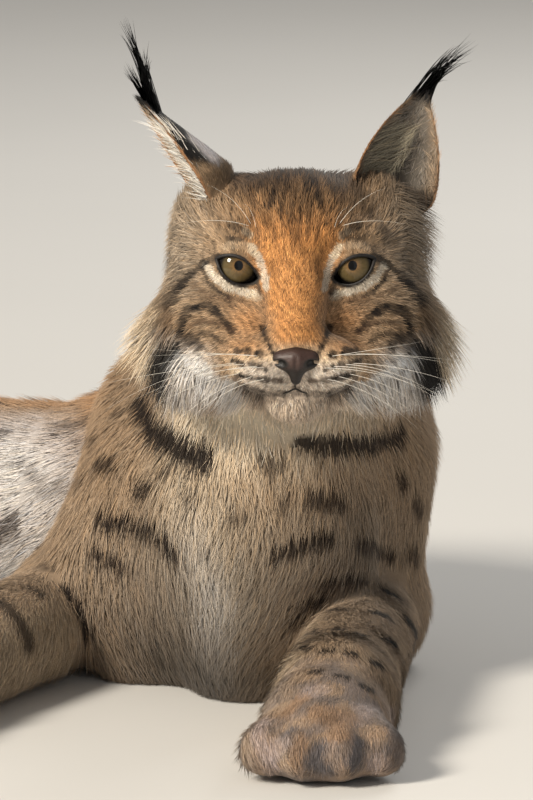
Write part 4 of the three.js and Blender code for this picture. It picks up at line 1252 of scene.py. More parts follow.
def clumpPull(root, lie, normal, cell):
    bent = root + np.stack([wavy(root, cell * 2.5, k) for k in (0.0, 2.0, 4.0)], -1) * cell * 0.8
    keys = np.floor(bent / cell).astype(np.int64)
    _, which = np.unique(keys @ np.array([73856093, 19349663, 83492791]), return_inverse=True)
    count = np.maximum(np.bincount(which), 1)
    middle = np.stack([np.bincount(which, root[:, k]) / count for k in range(3)], -1)
    pull = middle[which] - root
    pull = pull - (pull * normal).sum(-1, keepdims=True) * normal
    return pull - 0.7 * (pull * lie).sum(-1, keepdims=True) * lie


# Some tufts are darker or paler than the rest, and some warmer or cooler
coatTicks = {"darkShare": 0.17, "dark": 0.55, "paleShare": 0.2, "pale": 1.32, "warmth": 0.035}


def hairTones(n, mottled, ticked):
    bright = draw.uniform(1 - mottled, 1 + mottled, n)
    pick = draw.uniform(size=n)
    bright *= np.where(pick < coatTicks["darkShare"], 1 - ticked * (1 - coatTicks["dark"]), 1)
    bright *= np.where(pick > 1 - coatTicks["paleShare"], 1 + ticked * (coatTicks["pale"] - 1), 1)
    warm = draw.normal(0, coatTicks["warmth"], n)
    return bright[:, None] * np.stack([1 + warm, np.ones(n), 1 - 1.4 * warm], -1)


# How a tuft is made, unless its kind says otherwise; sink is a share of its length, clumpCell in millimetres
tuftRule = {
    "segments": 2, "sink": 0.07, "curl": 0.45, "ragged": 0.13, "waves": 0.12, "tipTone": 1.06,
    "rootTone": 0.78, "clump": 0.0, "clumpCell": 6.0, "mottled": 0.12, "ticked": 0.6, "thick": 0.55,
    "floor": 0.35,
}
tuftKinds = {
    "long": {"clump": 0.5, "clumpCell": 4.5, "ticked": 0.65, "rootTone": 0.7},
    "plain": {"segments": 1, "clump": 0.4, "clumpCell": 5.0, "ticked": 0.75, "rootTone": 0.7},
    "faceShort": {"segments": 1, "rootTone": 0.72, "mottled": 0.24, "ragged": 0.24, "ticked": 1.6},
    "faceLong": {"rootTone": 0.66, "clump": 0.35, "clumpCell": 3.5, "ticked": 0.85},
    "ruff": {"curl": 0.8, "waves": 0.18, "tipTone": 1.08, "rootTone": 0.6, "clump": 0.55, "ticked": 0.8},
    "earOuter": {"segments": 1, "sink": 0.04, "ticked": 0.9},
    "earInner": {"segments": 1, "sink": 0.04, "ticked": 1.7, "ragged": 0.4},
    "earFringe": {"segments": 1, "sink": 0.1},
    "earHair": {"segments": 3, "sink": 0.03, "waves": 0.14, "tipTone": 1.1, "rootTone": 0.7, "ragged": 0.2},
}


def makeTufts(name, slot, kind, root, normal, lie, length, width, lift, colour, uv):
    rule = dict(tuftRule, **tuftKinds[kind])
    segments, curl = rule["segments"], rule["curl"]
    n = len(root)
    if n == 0:
        return
    side = np.cross(normal, lie)
    turn = draw.normal(0, rule["ragged"], n)[:, None]
    lie = unit(lie * np.cos(turn) + side * np.sin(turn))
    sway = np.stack([wavy(root, 9.0, 1.0), wavy(root, 9.0, 5.0)], -1)
    lie = unit(lie + np.cross(normal, lie) * sway[:, :1] * rule["waves"] * 1.6)
    side = np.cross(normal, lie)
    length = (length * draw.uniform(0.7, 1.15, n))[:, None]
    lift = (np.broadcast_to(lift, n) * draw.uniform(0.6, 1.35, n) * (1 + 0.4 * sway[:, 1]))[:, None]
    width = (np.broadcast_to(width, n) * draw.uniform(0.75, 1.25, n))[:, None]
    bend = side * draw.normal(0, 0.08, n)[:, None] * length
    if rule["clump"]:
        bend = bend + clumpPull(root, lie, normal, rule["clumpCell"]) * rule["clump"]
    rows = []
    for t in np.arange(segments) / segments:
        rise = normal * (lift * (1 + curl) * t - lift * curl * t * t)
        centre = root - normal * length * rule["sink"] * (1 - t) + (lie * t + rise) * length + bend * t * t
        half = width * 0.5 * (1 - t**1.7)
        rows += [centre - side * half, centre + side * half, centre + normal * half * rule["thick"]]
    rows.append(root + (lie + normal * lift) * length + bend)
    points = np.stack(rows, 1)
    points[..., 2] = np.maximum(points[..., 2], rule["floor"])
    along = np.append(np.repeat(np.arange(segments) / segments, 3), 1.0)
    tones = rule["rootTone"] + (rule["tipTone"] - rule["rootTone"]) * along
    shades = tones[None, :, None] * (colour * hairTones(n, rule["mottled"], rule["ticked"]))[:, None, :]
    across = np.append(np.tile([-1.0, 1.0, 0.0], segments), 0.0)
    own = unit(side[:, None] * across[None, :, None] + normal[:, None])
    soft = coatFinish["softness"]
    shading = unit(own * (1 - soft) + normal[:, None] * soft)
    most = mostTriangles // len(strandFaces(segments))
    for k, start in enumerate(range(0, n, most)):
        part = slice(start, min(n, start + most))
        pieceName = name if n <= most else f"{name}{k + 1}"
        bladePiece(pieceName, slot, points[part], shading[part], shades[part], uv[part], segments)


def triangles(points, faces):
    if faces.shape[1] == 4:
        faces = np.vstack([faces[:, [0, 1, 2]], faces[:, [0, 2, 3]]])
    a, b, c = (points[faces[:, i]] for i in range(3))
    return faces, np.linalg.norm(np.cross(b - a, c - a), axis=-1) / 2


def scatter(points, faces, normals, spacing):
    faces, area = triangles(points, faces)
    gap = spacing[faces].mean(1)
    wanted = area / (gap * gap)
    count = np.floor(wanted + draw.uniform(size=len(wanted))).astype(int)
    face = np.repeat(np.arange(len(faces)), count)
    u, v = draw.uniform(size=len(face)), draw.uniform(size=len(face))
    over = u + v > 1
    u[over], v[over] = 1 - u[over], 1 - v[over]
    weights = np.stack([1 - u - v, u, v], -1)
    place = (points[faces[face]] * weights[..., None]).sum(1)
    normal = unit((normals[faces[face]] * weights[..., None]).sum(1))
    return place, normal


# How the coat's sizes change from place to place, as shares of the region's own
sizeRule = {
    "paws": {"length": -0.4, "lift": -0.35, "width": -0.15}, "bellyLength": 0.4, "breastLength": 0.8,
    "breastLift": -0.3, "awayLength": 0.25, "breastAcross": (-30, 75),
}
# A spacing so wide that no tuft is rooted
noCoat = 1e3


def coatSizes(p, at):
    share = at["share"]
    q, h = at["local"], at["head"]
    sizes = {}
    for k in ("length", "spacing", "width", "lift"):
        sizes[k] = np.array([coatRegions[n][k] for n in regionNames]) @ share * (1 - h) + onFace(q, k) * h
    body = 1 - h
    paws = pawShare(p) * body
    for k, change in sizeRule["paws"].items():
        sizes[k] *= 1 + change * paws
    belly = smooth(-np.cos(at["trunkAngle"]), 0.0, 0.8) * smooth(p[:, 1], 90, 190)
    sizes["length"] *= 1 + sizeRule["bellyLength"] * belly * body
    breast = bump(p[:, 0], *sizeRule["breastAcross"]) * smooth(-p[:, 1], -40, 20) * body
    sizes["length"] *= 1 + sizeRule["breastLength"] * breast * smooth(-p[:, 2], -190, -50)
    sizes["lift"] *= 1 + sizeRule["breastLift"] * breast * smooth(-p[:, 2], -60, -10)
    place, reach, longer = faceCoat["chin"]
    chin = np.exp(-(np.linalg.norm(q - place, axis=-1) / reach)**2) * smooth(-q[:, 2], 80, 86) * h
    sizes["length"] += longer * chin
    # where the photo does not look, the coat stands wider and each tuft is broader
    behindHead = smooth(q[:, 1], 40, 95) * h
    turned = np.maximum(1 - at["facing"], behindHead)
    coarser = 1 + coarserShare * turned
    sizes["spacing"] *= coarser
    sizes["width"] *= coarser
    sizes["length"] *= 1 + sizeRule["awayLength"] * turned * body
    return sizes


skinSizes = coatSizes(skinPoints, skinPlace)
spacing = skinSizes["spacing"].copy()
bare = (skinNormals[:, 2] < -0.75) & (skinPoints[:, 2] < 9)
onEye = np.zeros(len(skinPoints), bool)
for eyeSide in (1, -1):
    near = np.flatnonzero(eyeDistance(skinPlace["local"]) < 30)
    q = skinPlace["local"][near]
    onEye[near] |= (polygonField(q[:, [0, 2]], almond(eyeSide)) < 0.7) & (q[:, 1] < 20)
spacing[bare | onEye] = noCoat
roots, rootNormals = scatter(skinPoints, skinFaces, skinNormals, spacing)
print("tufts rooted:", len(roots))
rootPlace = placeOnBody(roots, rootNormals)
rootSizes = coatSizes(roots, rootPlace)
# Each tuft takes the colour of a place near its outer half, so that the edges of the marks are of hair;
# the place is drawn at random along the coat's lie and across it, in millimetres
markBlur = {"body": (1.8, 0.8), "face": (0.5, 0.35)}


def colourPlaces(root, normal, place, length):
    n = len(root)
    head = place["head"]
    along = draw.normal(0, 1, n) * (markBlur["body"][0] * (1 - head) + markBlur["face"][0] * head)
    across = draw.normal(0, 1, n) * (markBlur["body"][1] * (1 - head) + markBlur["face"][1] * head)
    side = np.cross(normal, place["lie"])
    return root + place["lie"] * (length * 0.5 + along)[:, None] + side * across[:, None]


seen = colourPlaces(roots, rootNormals, rootPlace, rootSizes["length"])
rootColours = coatColour(seen, rootNormals, dict(rootPlace, local=toHead(seen)))
regionPieces = [
    ("coatTrunk", ["trunk"], "body_coat"), ("coatNeck", ["neck"], "body_coat"),
    ("coatTail", ["tail"], "tail_coat"),
    ("coatForelegLeft", ["foreLeft"], "leg_coat"), ("coatForelegRight", ["foreRight"], "leg_coat"),
    ("coatHindlegs", ["hindLeft", "hindRight"], "leg_coat"),
]


def layCoat(name, slot, kind, chosen):
    length, width, lift = (rootSizes[k][chosen] for k in ("length", "width", "lift"))
    makeTufts(name, slot, kind, roots[chosen], rootNormals[chosen], rootPlace["lie"][chosen],
              length, width, lift, rootColours[chosen], rootPlace["uv"][chosen])


# Long hair that the photo shows bends over its length; the rest is short enough to lie straight
breastHair = (roots[:, 1] < 70) & (rootPlace["facing"] > 0.35)
for pieceName, members, slot in regionPieces:
    chosen = np.isin(rootPlace["region"], [regionNames.index(m) for m in members])
    if slot == "body_coat":
        layCoat(pieceName + "Front", slot, "long", chosen & breastHair)
        chosen = chosen & ~breastHair
    layCoat(pieceName, slot, "plain", chosen)
onHead = rootPlace["region"] == len(regionNames)
short = rootSizes["length"] < 5.5
layCoat("coatFaceShort", "face_coat", "faceShort", onHead & short)
layCoat("coatFaceLong", "face_coat", "faceLong", onHead & ~short)
print("coat laid")

# The ruff: long hair in locks from below each ear, down the cheek and under the jaw
ruffRule = {
    "spacing": 1.22, "length": 31.0, "width": 0.62, "lift": 0.28, "reach": 23,
    "upperLeft": 0.85, "upperRight": 0.45,
    "line": [(78, 52, 44), (84, 42, 26), (88, 36, 6), (90, 32, -22), (86, 30, -44), (74, 28, -62),
             (56, 24, -72), (38, 18, -80)],
}


def ruffGap(q):
    return lineDistance(np.stack([np.abs(q[:, 0]), q[:, 1], q[:, 2]], -1), np.array(ruffRule["line"], float))


nearRuff = (ruffGap(skinPlace["local"]) < ruffRule["reach"]) & (skinPlace["head"] > 0.4)
ruffSpacing = np.where(nearRuff, ruffRule["spacing"], noCoat)
ruffRoots, ruffNormals = scatter(skinPoints, skinFaces, skinNormals, ruffSpacing)
ruffPlace = placeOnBody(ruffRoots, ruffNormals)
local = ruffPlace["local"]
low = smooth(-local[:, 2], -10, 70)[:, None]
sideways = np.sign(local[:, :1]) * (0.60 - 0.28 * low)
ruffLie = unit(np.concatenate([sideways, 0.30 + 0 * low, -0.66 - 0.32 * low], -1)) @ headTurn.T
ruffLie = unit(ruffLie - 0.8 * (ruffLie * ruffNormals).sum(-1, keepdims=True) * ruffNormals)
ruffLength = ruffRule["length"] * (1 - 0.55 * smooth(ruffGap(local), 2, ruffRule["reach"]))
upper = smooth(-local[:, 2], -30, 20)
upper = upper + (1 - upper) * np.where(local[:, 0] > 0, ruffRule["upperLeft"], ruffRule["upperRight"])
ruffLength = ruffLength * upper * (1 - 0.35 * smooth(-local[:, 2], 66, 82))
seen = colourPlaces(ruffRoots, ruffNormals, dict(ruffPlace, lie=ruffLie), ruffLength * 1.1)
ruffColours = coatColour(seen, ruffNormals, dict(ruffPlace, local=toHead(seen)))
high = (1 - smooth(-local[:, 2], -30, 20)) * (local[:, 0] > 0)
ruffLift = ruffRule["lift"] * (1 + ruffRule["upperLeft"] * high)
makeTufts("coatRuff", "face_coat", "ruff", ruffRoots, ruffNormals, ruffLie, ruffLength, ruffRule["width"],
          ruffLift, ruffColours, ruffPlace["uv"])
print("ruff laid:", len(ruffRoots))


# Ears: each a leaf rolled into a cup
earRule = {"sunk": 12.0, "columns": 44, "rows": 40, "skin": 1.5, "foot": 0.66}


def earLeaf(ear, u, w, lift):
    inner, outer, tip, toward = (np.array(ear[k], float) for k in ("inner", "outer", "tip", "open"))
    base = (inner + outer) / 2
    up = unit(tip - base)
    openTo = unit(toward - up * (unit(toward) @ up))
    across = unit(np.cross(openTo, up))
    halfBase = np.linalg.norm(inner - outer) / 2
    height = np.linalg.norm(tip - base)
    low = earRule["foot"] + (1 - earRule["foot"]) * smooth(w, 0.0, 0.24)
    high = np.maximum(np.cos((w - 0.25) * 0.63 * math.pi), 0.0)**0.85
    flare = np.where(w < 0.25, low, high)
    curl = 1.75 - 1.0 * w
    radius = halfBase * flare / np.sin(np.minimum(curl, math.pi / 2))
    rise = w * height - earRule["sunk"] * (1 - w)
    middle = base + up * rise[:, None] + openTo * (radius * np.cos(curl))[:, None]
    r = radius - lift
    return middle + across * (r * np.sin(u * curl))[:, None] - openTo * (r * np.cos(u * curl))[:, None]


def makeEar(name, ear):
    columns, rows = earRule["columns"], earRule["rows"]
    u, w = [g.ravel() for g in np.meshgrid(np.linspace(-1, 1, columns + 1), np.linspace(0, 1, rows + 1))]
    thick = (earRule["skin"] * (1 - 0.4 * np.abs(u)**3) * (1 - 0.4 * w))
    front, back = earLeaf(ear, u, w, thick / 2), earLeaf(ear, u, w, -thick / 2)
    index = np.arange(len(u)).reshape(rows + 1, columns + 1)
    squares = index[:-1, :-1], index[:-1, 1:], index[1:, 1:], index[1:, :-1]
    a, b, c, d = [square.ravel() for square in squares]
    count = len(u)
    faces = [np.stack([a, b, c, d], -1), np.stack([d, c, b, a], -1) + count]
    rim = np.concatenate([index[0, :-1], index[:-1, -1], index[-1, :0:-1], index[:0:-1, 0]])
    after = np.roll(rim, -1)
    faces.append(np.stack([rim, rim + count, after + count, after], -1))
    points = fromHead(np.vstack([front, back]))
    faces = np.vstack(faces)
    volume = 0.0
    for tri in (faces[:, [0, 1, 2]], faces[:, [0, 2, 3]]):
        a, b, c = (points[tri[:, i]] for i in range(3))
        volume += (a * np.cross(b, c)).sum()
    if volume < 0:
        faces = faces[:, ::-1]
    piece = meshObject(name, points, faces)
    isFront = np.concatenate([np.ones(count, bool), np.zeros(count, bool)])
    uu, ww = np.tile(u, 2), np.tile(w, 2)
    setColours(piece, earColour(uu, ww, isFront, ear["paleBack"]) * 0.8)
    piece.data.materials.append(skinLook)
    finish(piece, "ear_coat", ear["node"])
    dressEar(name, ear)


earLook = {
    "fringeLength": 3.2, "outerLength": 4.2, "innerLength": 7.0, "hairLength": (11, 24), "width": 0.6,
    "innerLift": 0.34, "outerLift": 0.2,
    # the pale hair is darker on earLeft than on earRight: painted shade on the ear away from the key light
    "pale": {"earLeft": tone(178, 168, 146), "earRight": tone(222, 216, 206)},
}
earTones = {
    "outside": coatTones["black"] * 1.2, "patch": coatTones["earPatch"], "side": coatTones["cheek"] * 0.6,
    "rim": tone(166, 124, 88), "inside": coatTones["grey"] * 0.75, "tan": coatTones["legTan"] * 0.85,
    "dark": coatTones["dark"], "tip": coatTones["black"] * 1.5,
}
earHair = {"outer": 7000, "inner": 6500, "fringe": 1300, "long": 800, "strands": 30}


def earColour(u, w, isFront, back):
    # u runs from -1 to 1 across the leaf and w from 0 at its foot to 1 at its tip
    side = np.abs(u)
    edge = smooth(side, 0.94, 0.98) * (1 - smooth(w, 0.78, 0.95))
    outside, blend = painter(len(u), "outside", earTones)
    patch = (1 - smooth(side, 0.50, 0.70)) * smooth(w, 0.20, 0.28)
    blend("patch", patch * (1 - smooth(w + 0.16 * side, 0.56, 0.66)))
    blend("side", back * smooth(side, 0.3, 0.6))
    foot = 1 - smooth(w + 0.05 * np.sin(u * 9), 0.17, 0.34)
    foot = foot * (1 - 0.7 * bump(u, 0.15, 0.22) * bump(w, 0.24, 0.06))
    mottle = 0.82 + 0.34 * np.sin(u * 21 + 3 * np.sin(w * 29)) * np.sin(w * 33 + 2 * np.sin(u * 13))
    outside += (coatTones["cheek"] * mottle[:, None] - outside) * foot[:, None]
    blend("rim", edge)
    inside, blend = painter(len(u), "inside", earTones)
    blend("tan", smooth(side, 0.55, 0.9) * 0.6)
    # painted shade deep in the cup: darker near its foot, towards one edge
    blend("dark", smooth(-u, 0.45, 0.8) * (1 - smooth(w, 0.16, 0.34)) * 0.8)
    blend("rim", edge * np.where(u > 0, 1.0, 0.45))
    blend("tip", smooth(w, 0.88, 0.97))
    return np.where(isFront[:, None], inside, outside)


def dressEar(name, ear):
    def normalAt(u, w, face):
        return unit(earLeaf(ear, u, w, face * 1.0) - earLeaf(ear, u, w, 0 * u))

    def upAt(u, w):
        return unit(earLeaf(ear, u, np.minimum(w + 0.04, 1), 0 * u) - earLeaf(ear, u, w - 0.02, 0 * u))

    def turned(v):
        return v @ headTurn.T

    look = earLook
    for face, kind, count, long in ((-1, "Outer", earHair["outer"], look["outerLength"]),
                                    (1, "Inner", earHair["inner"], look["innerLength"])):
        u, w = draw.uniform(-1, 1, count), draw.uniform(0.02, 0.98, count)**0.85
        n, up = normalAt(u, w, face), upAt(u, w)
        if face < 0:
            one, other = np.minimum(u + 0.04, 1), np.maximum(u - 0.04, -1)
            outward = unit(np.cross(earLeaf(ear, one, w, 0 * u) - earLeaf(ear, other, w, 0 * u), up))
            n = outward * np.sign((outward * n).sum(-1, keepdims=True))
        up = unit(up - (up * n).sum(-1, keepdims=True) * n)
        root = earLeaf(ear, u, w, face * earRule["skin"] * 0.35)
        uv = onChart(name, (u + 1) / 4 + (0.5 if face > 0 else 0), w)
        colour = earColour(u, w, np.full(count, face > 0), ear["paleBack"])
        outerLift = look["outerLift"] - 0.17 * smooth(np.abs(u), 0.35, 0.75)
        lift = np.where(face > 0, look["innerLift"], outerLift)
        length = long * (1 + 1.2 * (1 - smooth(w, 0.05, 0.3)))
        makeTufts(name + kind, "ear_coat", "ear" + kind, fromHead(root), turned(n), turned(up),
                  length, look["width"], lift, colour, uv)
    # the edge carries a fringe, and long pale hair crosses the opening
    count = earHair["fringe"]
    u = np.where(draw.uniform(size=count) < 0.5, -1, 1) * draw.uniform(0.93, 1.0, count)
    w = draw.uniform(0.02, 0.96, count)
    sideways = unit(earLeaf(ear, u, w, 0 * u) - earLeaf(ear, u * 0.9, w, 0 * u))
    colour = earColour(u, w, np.full(count, False), ear["paleBack"])
    makeTufts(name + "Fringe", "ear_coat", "earFringe", fromHead(earLeaf(ear, u, w, 0 * u)), turned(sideways),
              turned(upAt(u, w)), np.full(count, look["fringeLength"]), 0.5, 0.25, colour,
              onChart(name, (u + 1) / 4, w))
    count = earHair["long"]
    spread = ear["hairSpread"]
    u = draw.uniform(spread[0], spread[1], count)
    w = draw.uniform(0.0, 0.72, count)**1.25
    n = normalAt(u, w, 1)
    inward = unit(earLeaf(ear, u * 0.3, w, 0 * u + 6) - earLeaf(ear, u, w, 0 * u))
    opened = unit(np.array(ear["open"], float))
    way = unit(upAt(u, w) * ear["hairUp"] + inward * ear["hairIn"] + opened * ear["hairOut"])
    # pale hair, darker on earLeft as painted shade
    pale = np.tile(look["pale"][name], (count, 1)) * draw.uniform(0.45, 1.1, count)[:, None]
    n = unit(n * (1 - ear["hairFront"]) + np.array((-0.3, -1, 0.3)) * ear["hairFront"])
    length = draw.uniform(*look["hairLength"], count)
    makeTufts(name + "Hair", "ear_coat", "earHair", fromHead(earLeaf(ear, u, w, 0 * u + 0.6)), turned(n),
              turned(way), length, 0.42, 0.1, pale, onChart(name, (u + 1) / 4 + 0.5, w))
    # the tuft: thin black strands from the tip
    strands = []
    for over, end in ear["tufts"]:
        for _ in range(earHair["strands"]):
            u0, w0 = draw.uniform(-0.8, 0.8, 1), draw.uniform(0.80, 0.98, 1)
            start = earLeaf(ear, u0, w0, np.zeros(1))[0]
            reach = np.array(end) - (np.array(end) - start) * draw.uniform(0, 0.35)
            strands.append((start, np.array(over) + draw.normal(0, 1.2, 3), reach + draw.normal(0, 2.2, 3)))
    makeStrands(name + "Tuft", "ear_coat", strands, 0.62, coatTones["black"], name)


def makeStrands(pieceName, slot, strands, width, colour, chart, steps=6):
    rows, normals = [], []
    for start, over, end in strands:
        t = np.linspace(0, 1, steps + 1)[:, None]
        line = (1 - t)**2 * start + 2 * (1 - t) * t * over + t**2 * end
        way = unit(np.gradient(line, axis=0))
        side = unit(np.cross(way, (0.2, -1, 0.1)))
        face = np.cross(side, way)
        half = width * 0.5 * (1 - t**2.2)
        ring = np.stack([line - side * half, line + side * half, line + face * half * 0.8], 1)[:-1]
        rows.append(np.vstack([ring.reshape(-1, 3), line[-1:]]))
        out = np.stack([face - side, face + side, face], 1)[:-1]
        normals.append(np.vstack([out.reshape(-1, 3), face[-1:]]))
    n = len(strands)
    points = fromHead(np.array(rows).reshape(-1, 3)).reshape(n, -1, 3)
    shading = unit(np.array(normals)) @ headTurn.T
    shades = colour[None, None] * draw.uniform(0.7, 1.4, n)[:, None, None] * np.ones((1, points.shape[1], 1))
    centres = onChart(chart, draw.uniform(0.1, 0.4, n), draw.uniform(0.9, 1.0, n))
    bladePiece(pieceName, slot, points, shading, shades, centres, steps)


for earName, earShape in earShapes.items():
    makeEar(earName, earShape)
print("ears made")

# Eyes: a ball with an iris and pupil painted by distance from the pupil's middle, under a clear wet coat
eyeLook = {
    "iris": 10.6, "pupil": (2.8, 3.2), "turnIn": 3.2, "segments": 72,
    "olive": (90, 79, 52), "amber": (126, 94, 56),
    "fibre": (70, 60, 38), "rim": (14, 11, 9), "rimWidth": 0.85, "rimReach": 1.0,
}


eyeShine = {
    "Roughness": 0.6, "Specular IOR Level": 0.05,
    "Coat Weight": 0.9, "Coat Roughness": 0.03, "Coat IOR": 1.38,
}


def eyeMaterial():
    material, nodes, links, shader = newMaterial("eye", eyeShine)
    variedColour(nodes, links, shader, "eyeColour", texture(nodes, links, "Noise", 420), 0.86, 1.14)
    return material


eyeSurface = eyeMaterial()


def eyeTones(x, z):
    # colour of the ball's front by the distance from its axis
    out = np.hypot(x, z)
    around = np.arctan2(z, x)
    fibre = 0.5 + 0.5 * np.sin(around * 46 + 2.2 * np.sin(around * 9)) * np.sin(around * 31 + out)
    amber = np.exp(-np.maximum(out - eyeLook["pupil"][1], 0) / 2.0)[:, None]
    shade = tone(*eyeLook["olive"]) * (1 - amber) + tone(*eyeLook["amber"]) * amber
    shade = shade + (tone(*eyeLook["fibre"]) - shade) * (0.55 * fibre)[:, None]
    # painted shadow of the upper lid: the iris darker towards its top
    shade = shade * (1 - 0.5 * smooth(z, -1, 6))[:, None]
    limb = smooth(out, eyeLook["iris"] - 1.9, eyeLook["iris"] + 0.3)[:, None]
    shade = shade + (tone(*eyeLook["rim"]) - shade) * limb
    wide, high = eyeLook["pupil"]
    pupil = 1 - smooth(np.hypot(x / wide, z / high), 0.92, 1.08)[:, None]
    return shade + (coatTones["black"] * 0.1 - shade) * pupil


def makeEye(side):
    segments = eyeLook["segments"]
    radius = headPlace["eyeRadius"]
    pupilRings, irisRings = np.linspace(0, 0.3, 26, endpoint=False), np.linspace(0.3, 1.0, 46, endpoint=False)
    polar = np.concatenate([pupilRings, irisRings, np.linspace(1.0, math.pi, 20)])[1:-1]
    turn = np.linspace(0, 2 * math.pi, segments, endpoint=False)
    out = radius * np.sin(polar)[:, None]
    ring = np.stack([out * np.cos(turn), -radius * np.cos(polar)[:, None] + 0 * turn, out * np.sin(turn)], -1)
    points = np.vstack([[(0, -radius, 0)], ring.reshape(-1, 3), [(0, radius, 0)]])
    tones = eyeTones(points[:, 0], points[:, 2])
    tones[points[:, 1] > 0] = tone(*eyeLook["rim"])
    a = (1 + np.arange(len(polar) - 1)[:, None] * segments + np.arange(segments)).ravel()
    b = (1 + np.arange(len(polar) - 1)[:, None] * segments + (np.arange(segments) + 1) % segments).ravel()
    last = len(points) - 1
    turns = [(i, (i + 1) % segments) for i in range(segments)]
    faces = [tuple(f) for f in np.stack([a, b, b + segments, a + segments], -1).tolist()]
    faces += [(0, 1 + j, 1 + i) for i, j in turns]
    faces += [(last, last - segments + i, last - segments + j) for i, j in turns]
    inward = -side * math.radians(eyeLook["turnIn"])
    c, t = math.cos(inward), math.sin(inward)
    points = points @ np.array([[c, t, 0], [-t, c, 0], [0, 0, 1]])
    name = "eyeballLeft" if side > 0 else "eyeballRight"
    mesh = bpy.data.meshes.new(name)
    mesh.from_pydata((fromHead(points + eyeCentre(side)) * mm).tolist(), [], faces)
    mesh.polygons.foreach_set("use_smooth", [True] * len(mesh.polygons))
    piece = placed(name, mesh)
    setColours(piece, tones, "eyeColour")
    piece.data.materials.append(eyeSurface)
    finish(piece, "eye", "eye_left" if side > 0 else "eye_right")
    # the dark wet rim of the lids follows the almond on the ball
    ring = almond(side, 40)
    centre = eyeCentre(side)
    across = ring - centre[[0, 2]]
    reach = radius + eyeLook["rimReach"]
    depth = -np.sqrt(np.maximum(reach**2 - (across**2).sum(-1), 25))
    line = np.stack([ring[:, 0], centre[1] + depth, ring[:, 1]], -1)
    thick = eyeLook["rimWidth"] * (1 + 0.35 * smooth(across[:, 1], -4, 5))
    makeTube("lidRimLeft" if side > 0 else "lidRimRight", "nose_leather", line, thick, darkSkin, closed=True)


def makeTube(name, slot, line, radius, material, closed=False, around=8):
    n = len(line)
    radius = np.broadcast_to(radius, n)
    if closed:
        way = unit(np.roll(line, -1, 0) - np.roll(line, 1, 0))
    else:
        way = unit(np.gradient(line, axis=0))
    outward = unit(np.cross(way, (0, -1, 0.01)))
    face = np.cross(outward, way)
    turn = np.linspace(0, 2 * math.pi, around, endpoint=False)
    circle = outward[:, None] * np.cos(turn)[None, :, None] + face[:, None] * np.sin(turn)[None, :, None]
    ring = line[:, None] + radius[:, None, None] * circle
    points = fromHead(ring.reshape(-1, 3))
    faces = []
    for i in range(n if closed else n - 1):
        a = i * around + np.arange(around)
        b = i * around + (np.arange(around) + 1) % around
        shift = ((i + 1) % n - i) * around
        faces.append(np.stack([a, b, b + shift, a + shift], -1))
    faces = np.vstack(faces)
    piece = meshObject(name, points, faces)
    form = bmesh.new()
    form.from_mesh(piece.data)
    if not closed:
        bmesh.ops.holes_fill(form, edges=[e for e in form.edges if e.is_boundary])
    bmesh.ops.recalc_face_normals(form, faces=form.faces)
    form.to_mesh(piece.data)
    form.free()
    piece.data.materials.append(material)
    return finish(piece, slot)


lidFinish = {"pale": (24, 18, 15), "dark": (12, 9, 8), "cells": 1500, "dents": (0.5, 0.0002)}
lidShine = {"Roughness": 0.62, "Coat Weight": 0.04, "Coat Roughness": 0.25}


def lidMaterial():
    material, nodes, links, shader = newMaterial("darkLids", lidShine)
    noise = texture(nodes, links, "Noise", lidFinish["cells"] * 0.12, 4)
    twoTones(nodes, links, shader, noise, tone(*lidFinish["dark"]), tone(*lidFinish["pale"]), 0.32, 0.68)
    dented(nodes, links, shader, texture(nodes, links, "Voronoi", lidFinish["cells"]), *lidFinish["dents"])
    return material


darkSkin = lidMaterial()
for eyeSide in (1, -1):
    makeEye(eyeSide)
print("eyes made")

# Nose leather with its nostrils, and the line of the mouth
noseLook = {
    "cell": 0.7, "middle": ((0, -38, -57.5), (9.5, 10.5, 7.6)), "wing": ((8.2, -36, -58), (7.6, 9.5, 6.8)),
    "wedge": ((0, -39.5, -62), (0, -36.5, -70.5), 6.8, 3.2),
    "nostril": ((5.6, -52, -63.2), (9.2, -45.5, -61.4), 2.2, 2.6),
    "slit": ((9.2, -46, -61.2), (14.2, -38.5, -58.6), 2.0, 0.8),
    "groove": ((0, -50, -55), (0, -44.5, -74), 0.7, 1.3),
    # hole: painted shade in the nostrils
    "pebbles": 1300, "top": (68, 45, 37), "low": (11, 8, 7), "edge": (28, 19, 16), "hole": (6, 5, 5),
}


noseShine = {"Roughness": 0.48, "Coat Weight": 0.12, "Coat Roughness": 0.3}


def noseMaterial():
    material, nodes, links, shader = newMaterial("noseLeather", noseShine)
    pebbles = texture(nodes, links, "Voronoi", noseLook["pebbles"])
    variedColour(nodes, links, shader, "noseColour", pebbles, 1.12, 0.72, 0.6)
    dented(nodes, links, shader, pebbles, 0.6, 0.0004, True)
    return material


def noseField(p):
    q = toHead(p)
    look = noseLook
    pad = softMin(ellipsoid(q, *look["middle"]), rod(q, *look["wedge"]), 5)
    for side in (1, -1):
        pad = softMin(pad, ellipsoid(q, *mirrored(look["wing"], side)), 3.5)
    pad = softMax(pad, -rod(q, *look["groove"]), 1.6)
    for side in (1, -1):
        hole = softMin(rod(q, *mirrored(look["nostril"], side)), rod(q, *mirrored(look["slit"], side)), 1.5)
        pad = softMax(pad, -hole, 1.0)
    return pad


def noseTones(p):
    q = toHead(p)
    x, v = np.abs(q[:, 0]), q[:, 2]
    colour, blend = painter(len(p), "top", {k: tone(*noseLook[k]) for k in ("top", "low", "edge", "hole")})
    blend("edge", smooth(x, 8, 15) * 0.8)
    blend("edge", smooth(v, -54.5, -50) * 0.85)
    blend("low", smooth(-v + 0.25 * x, 61, 67.5) * 0.9)
    hole = np.min([rod(q, *mirrored(noseLook[k], s)) for k in ("nostril", "slit") for s in (1, -1)], 0)
    # painted shade: near black in and around the nostrils
    blend("hole", 1 - smooth(hole, 0.4, 1.7))
    return colour


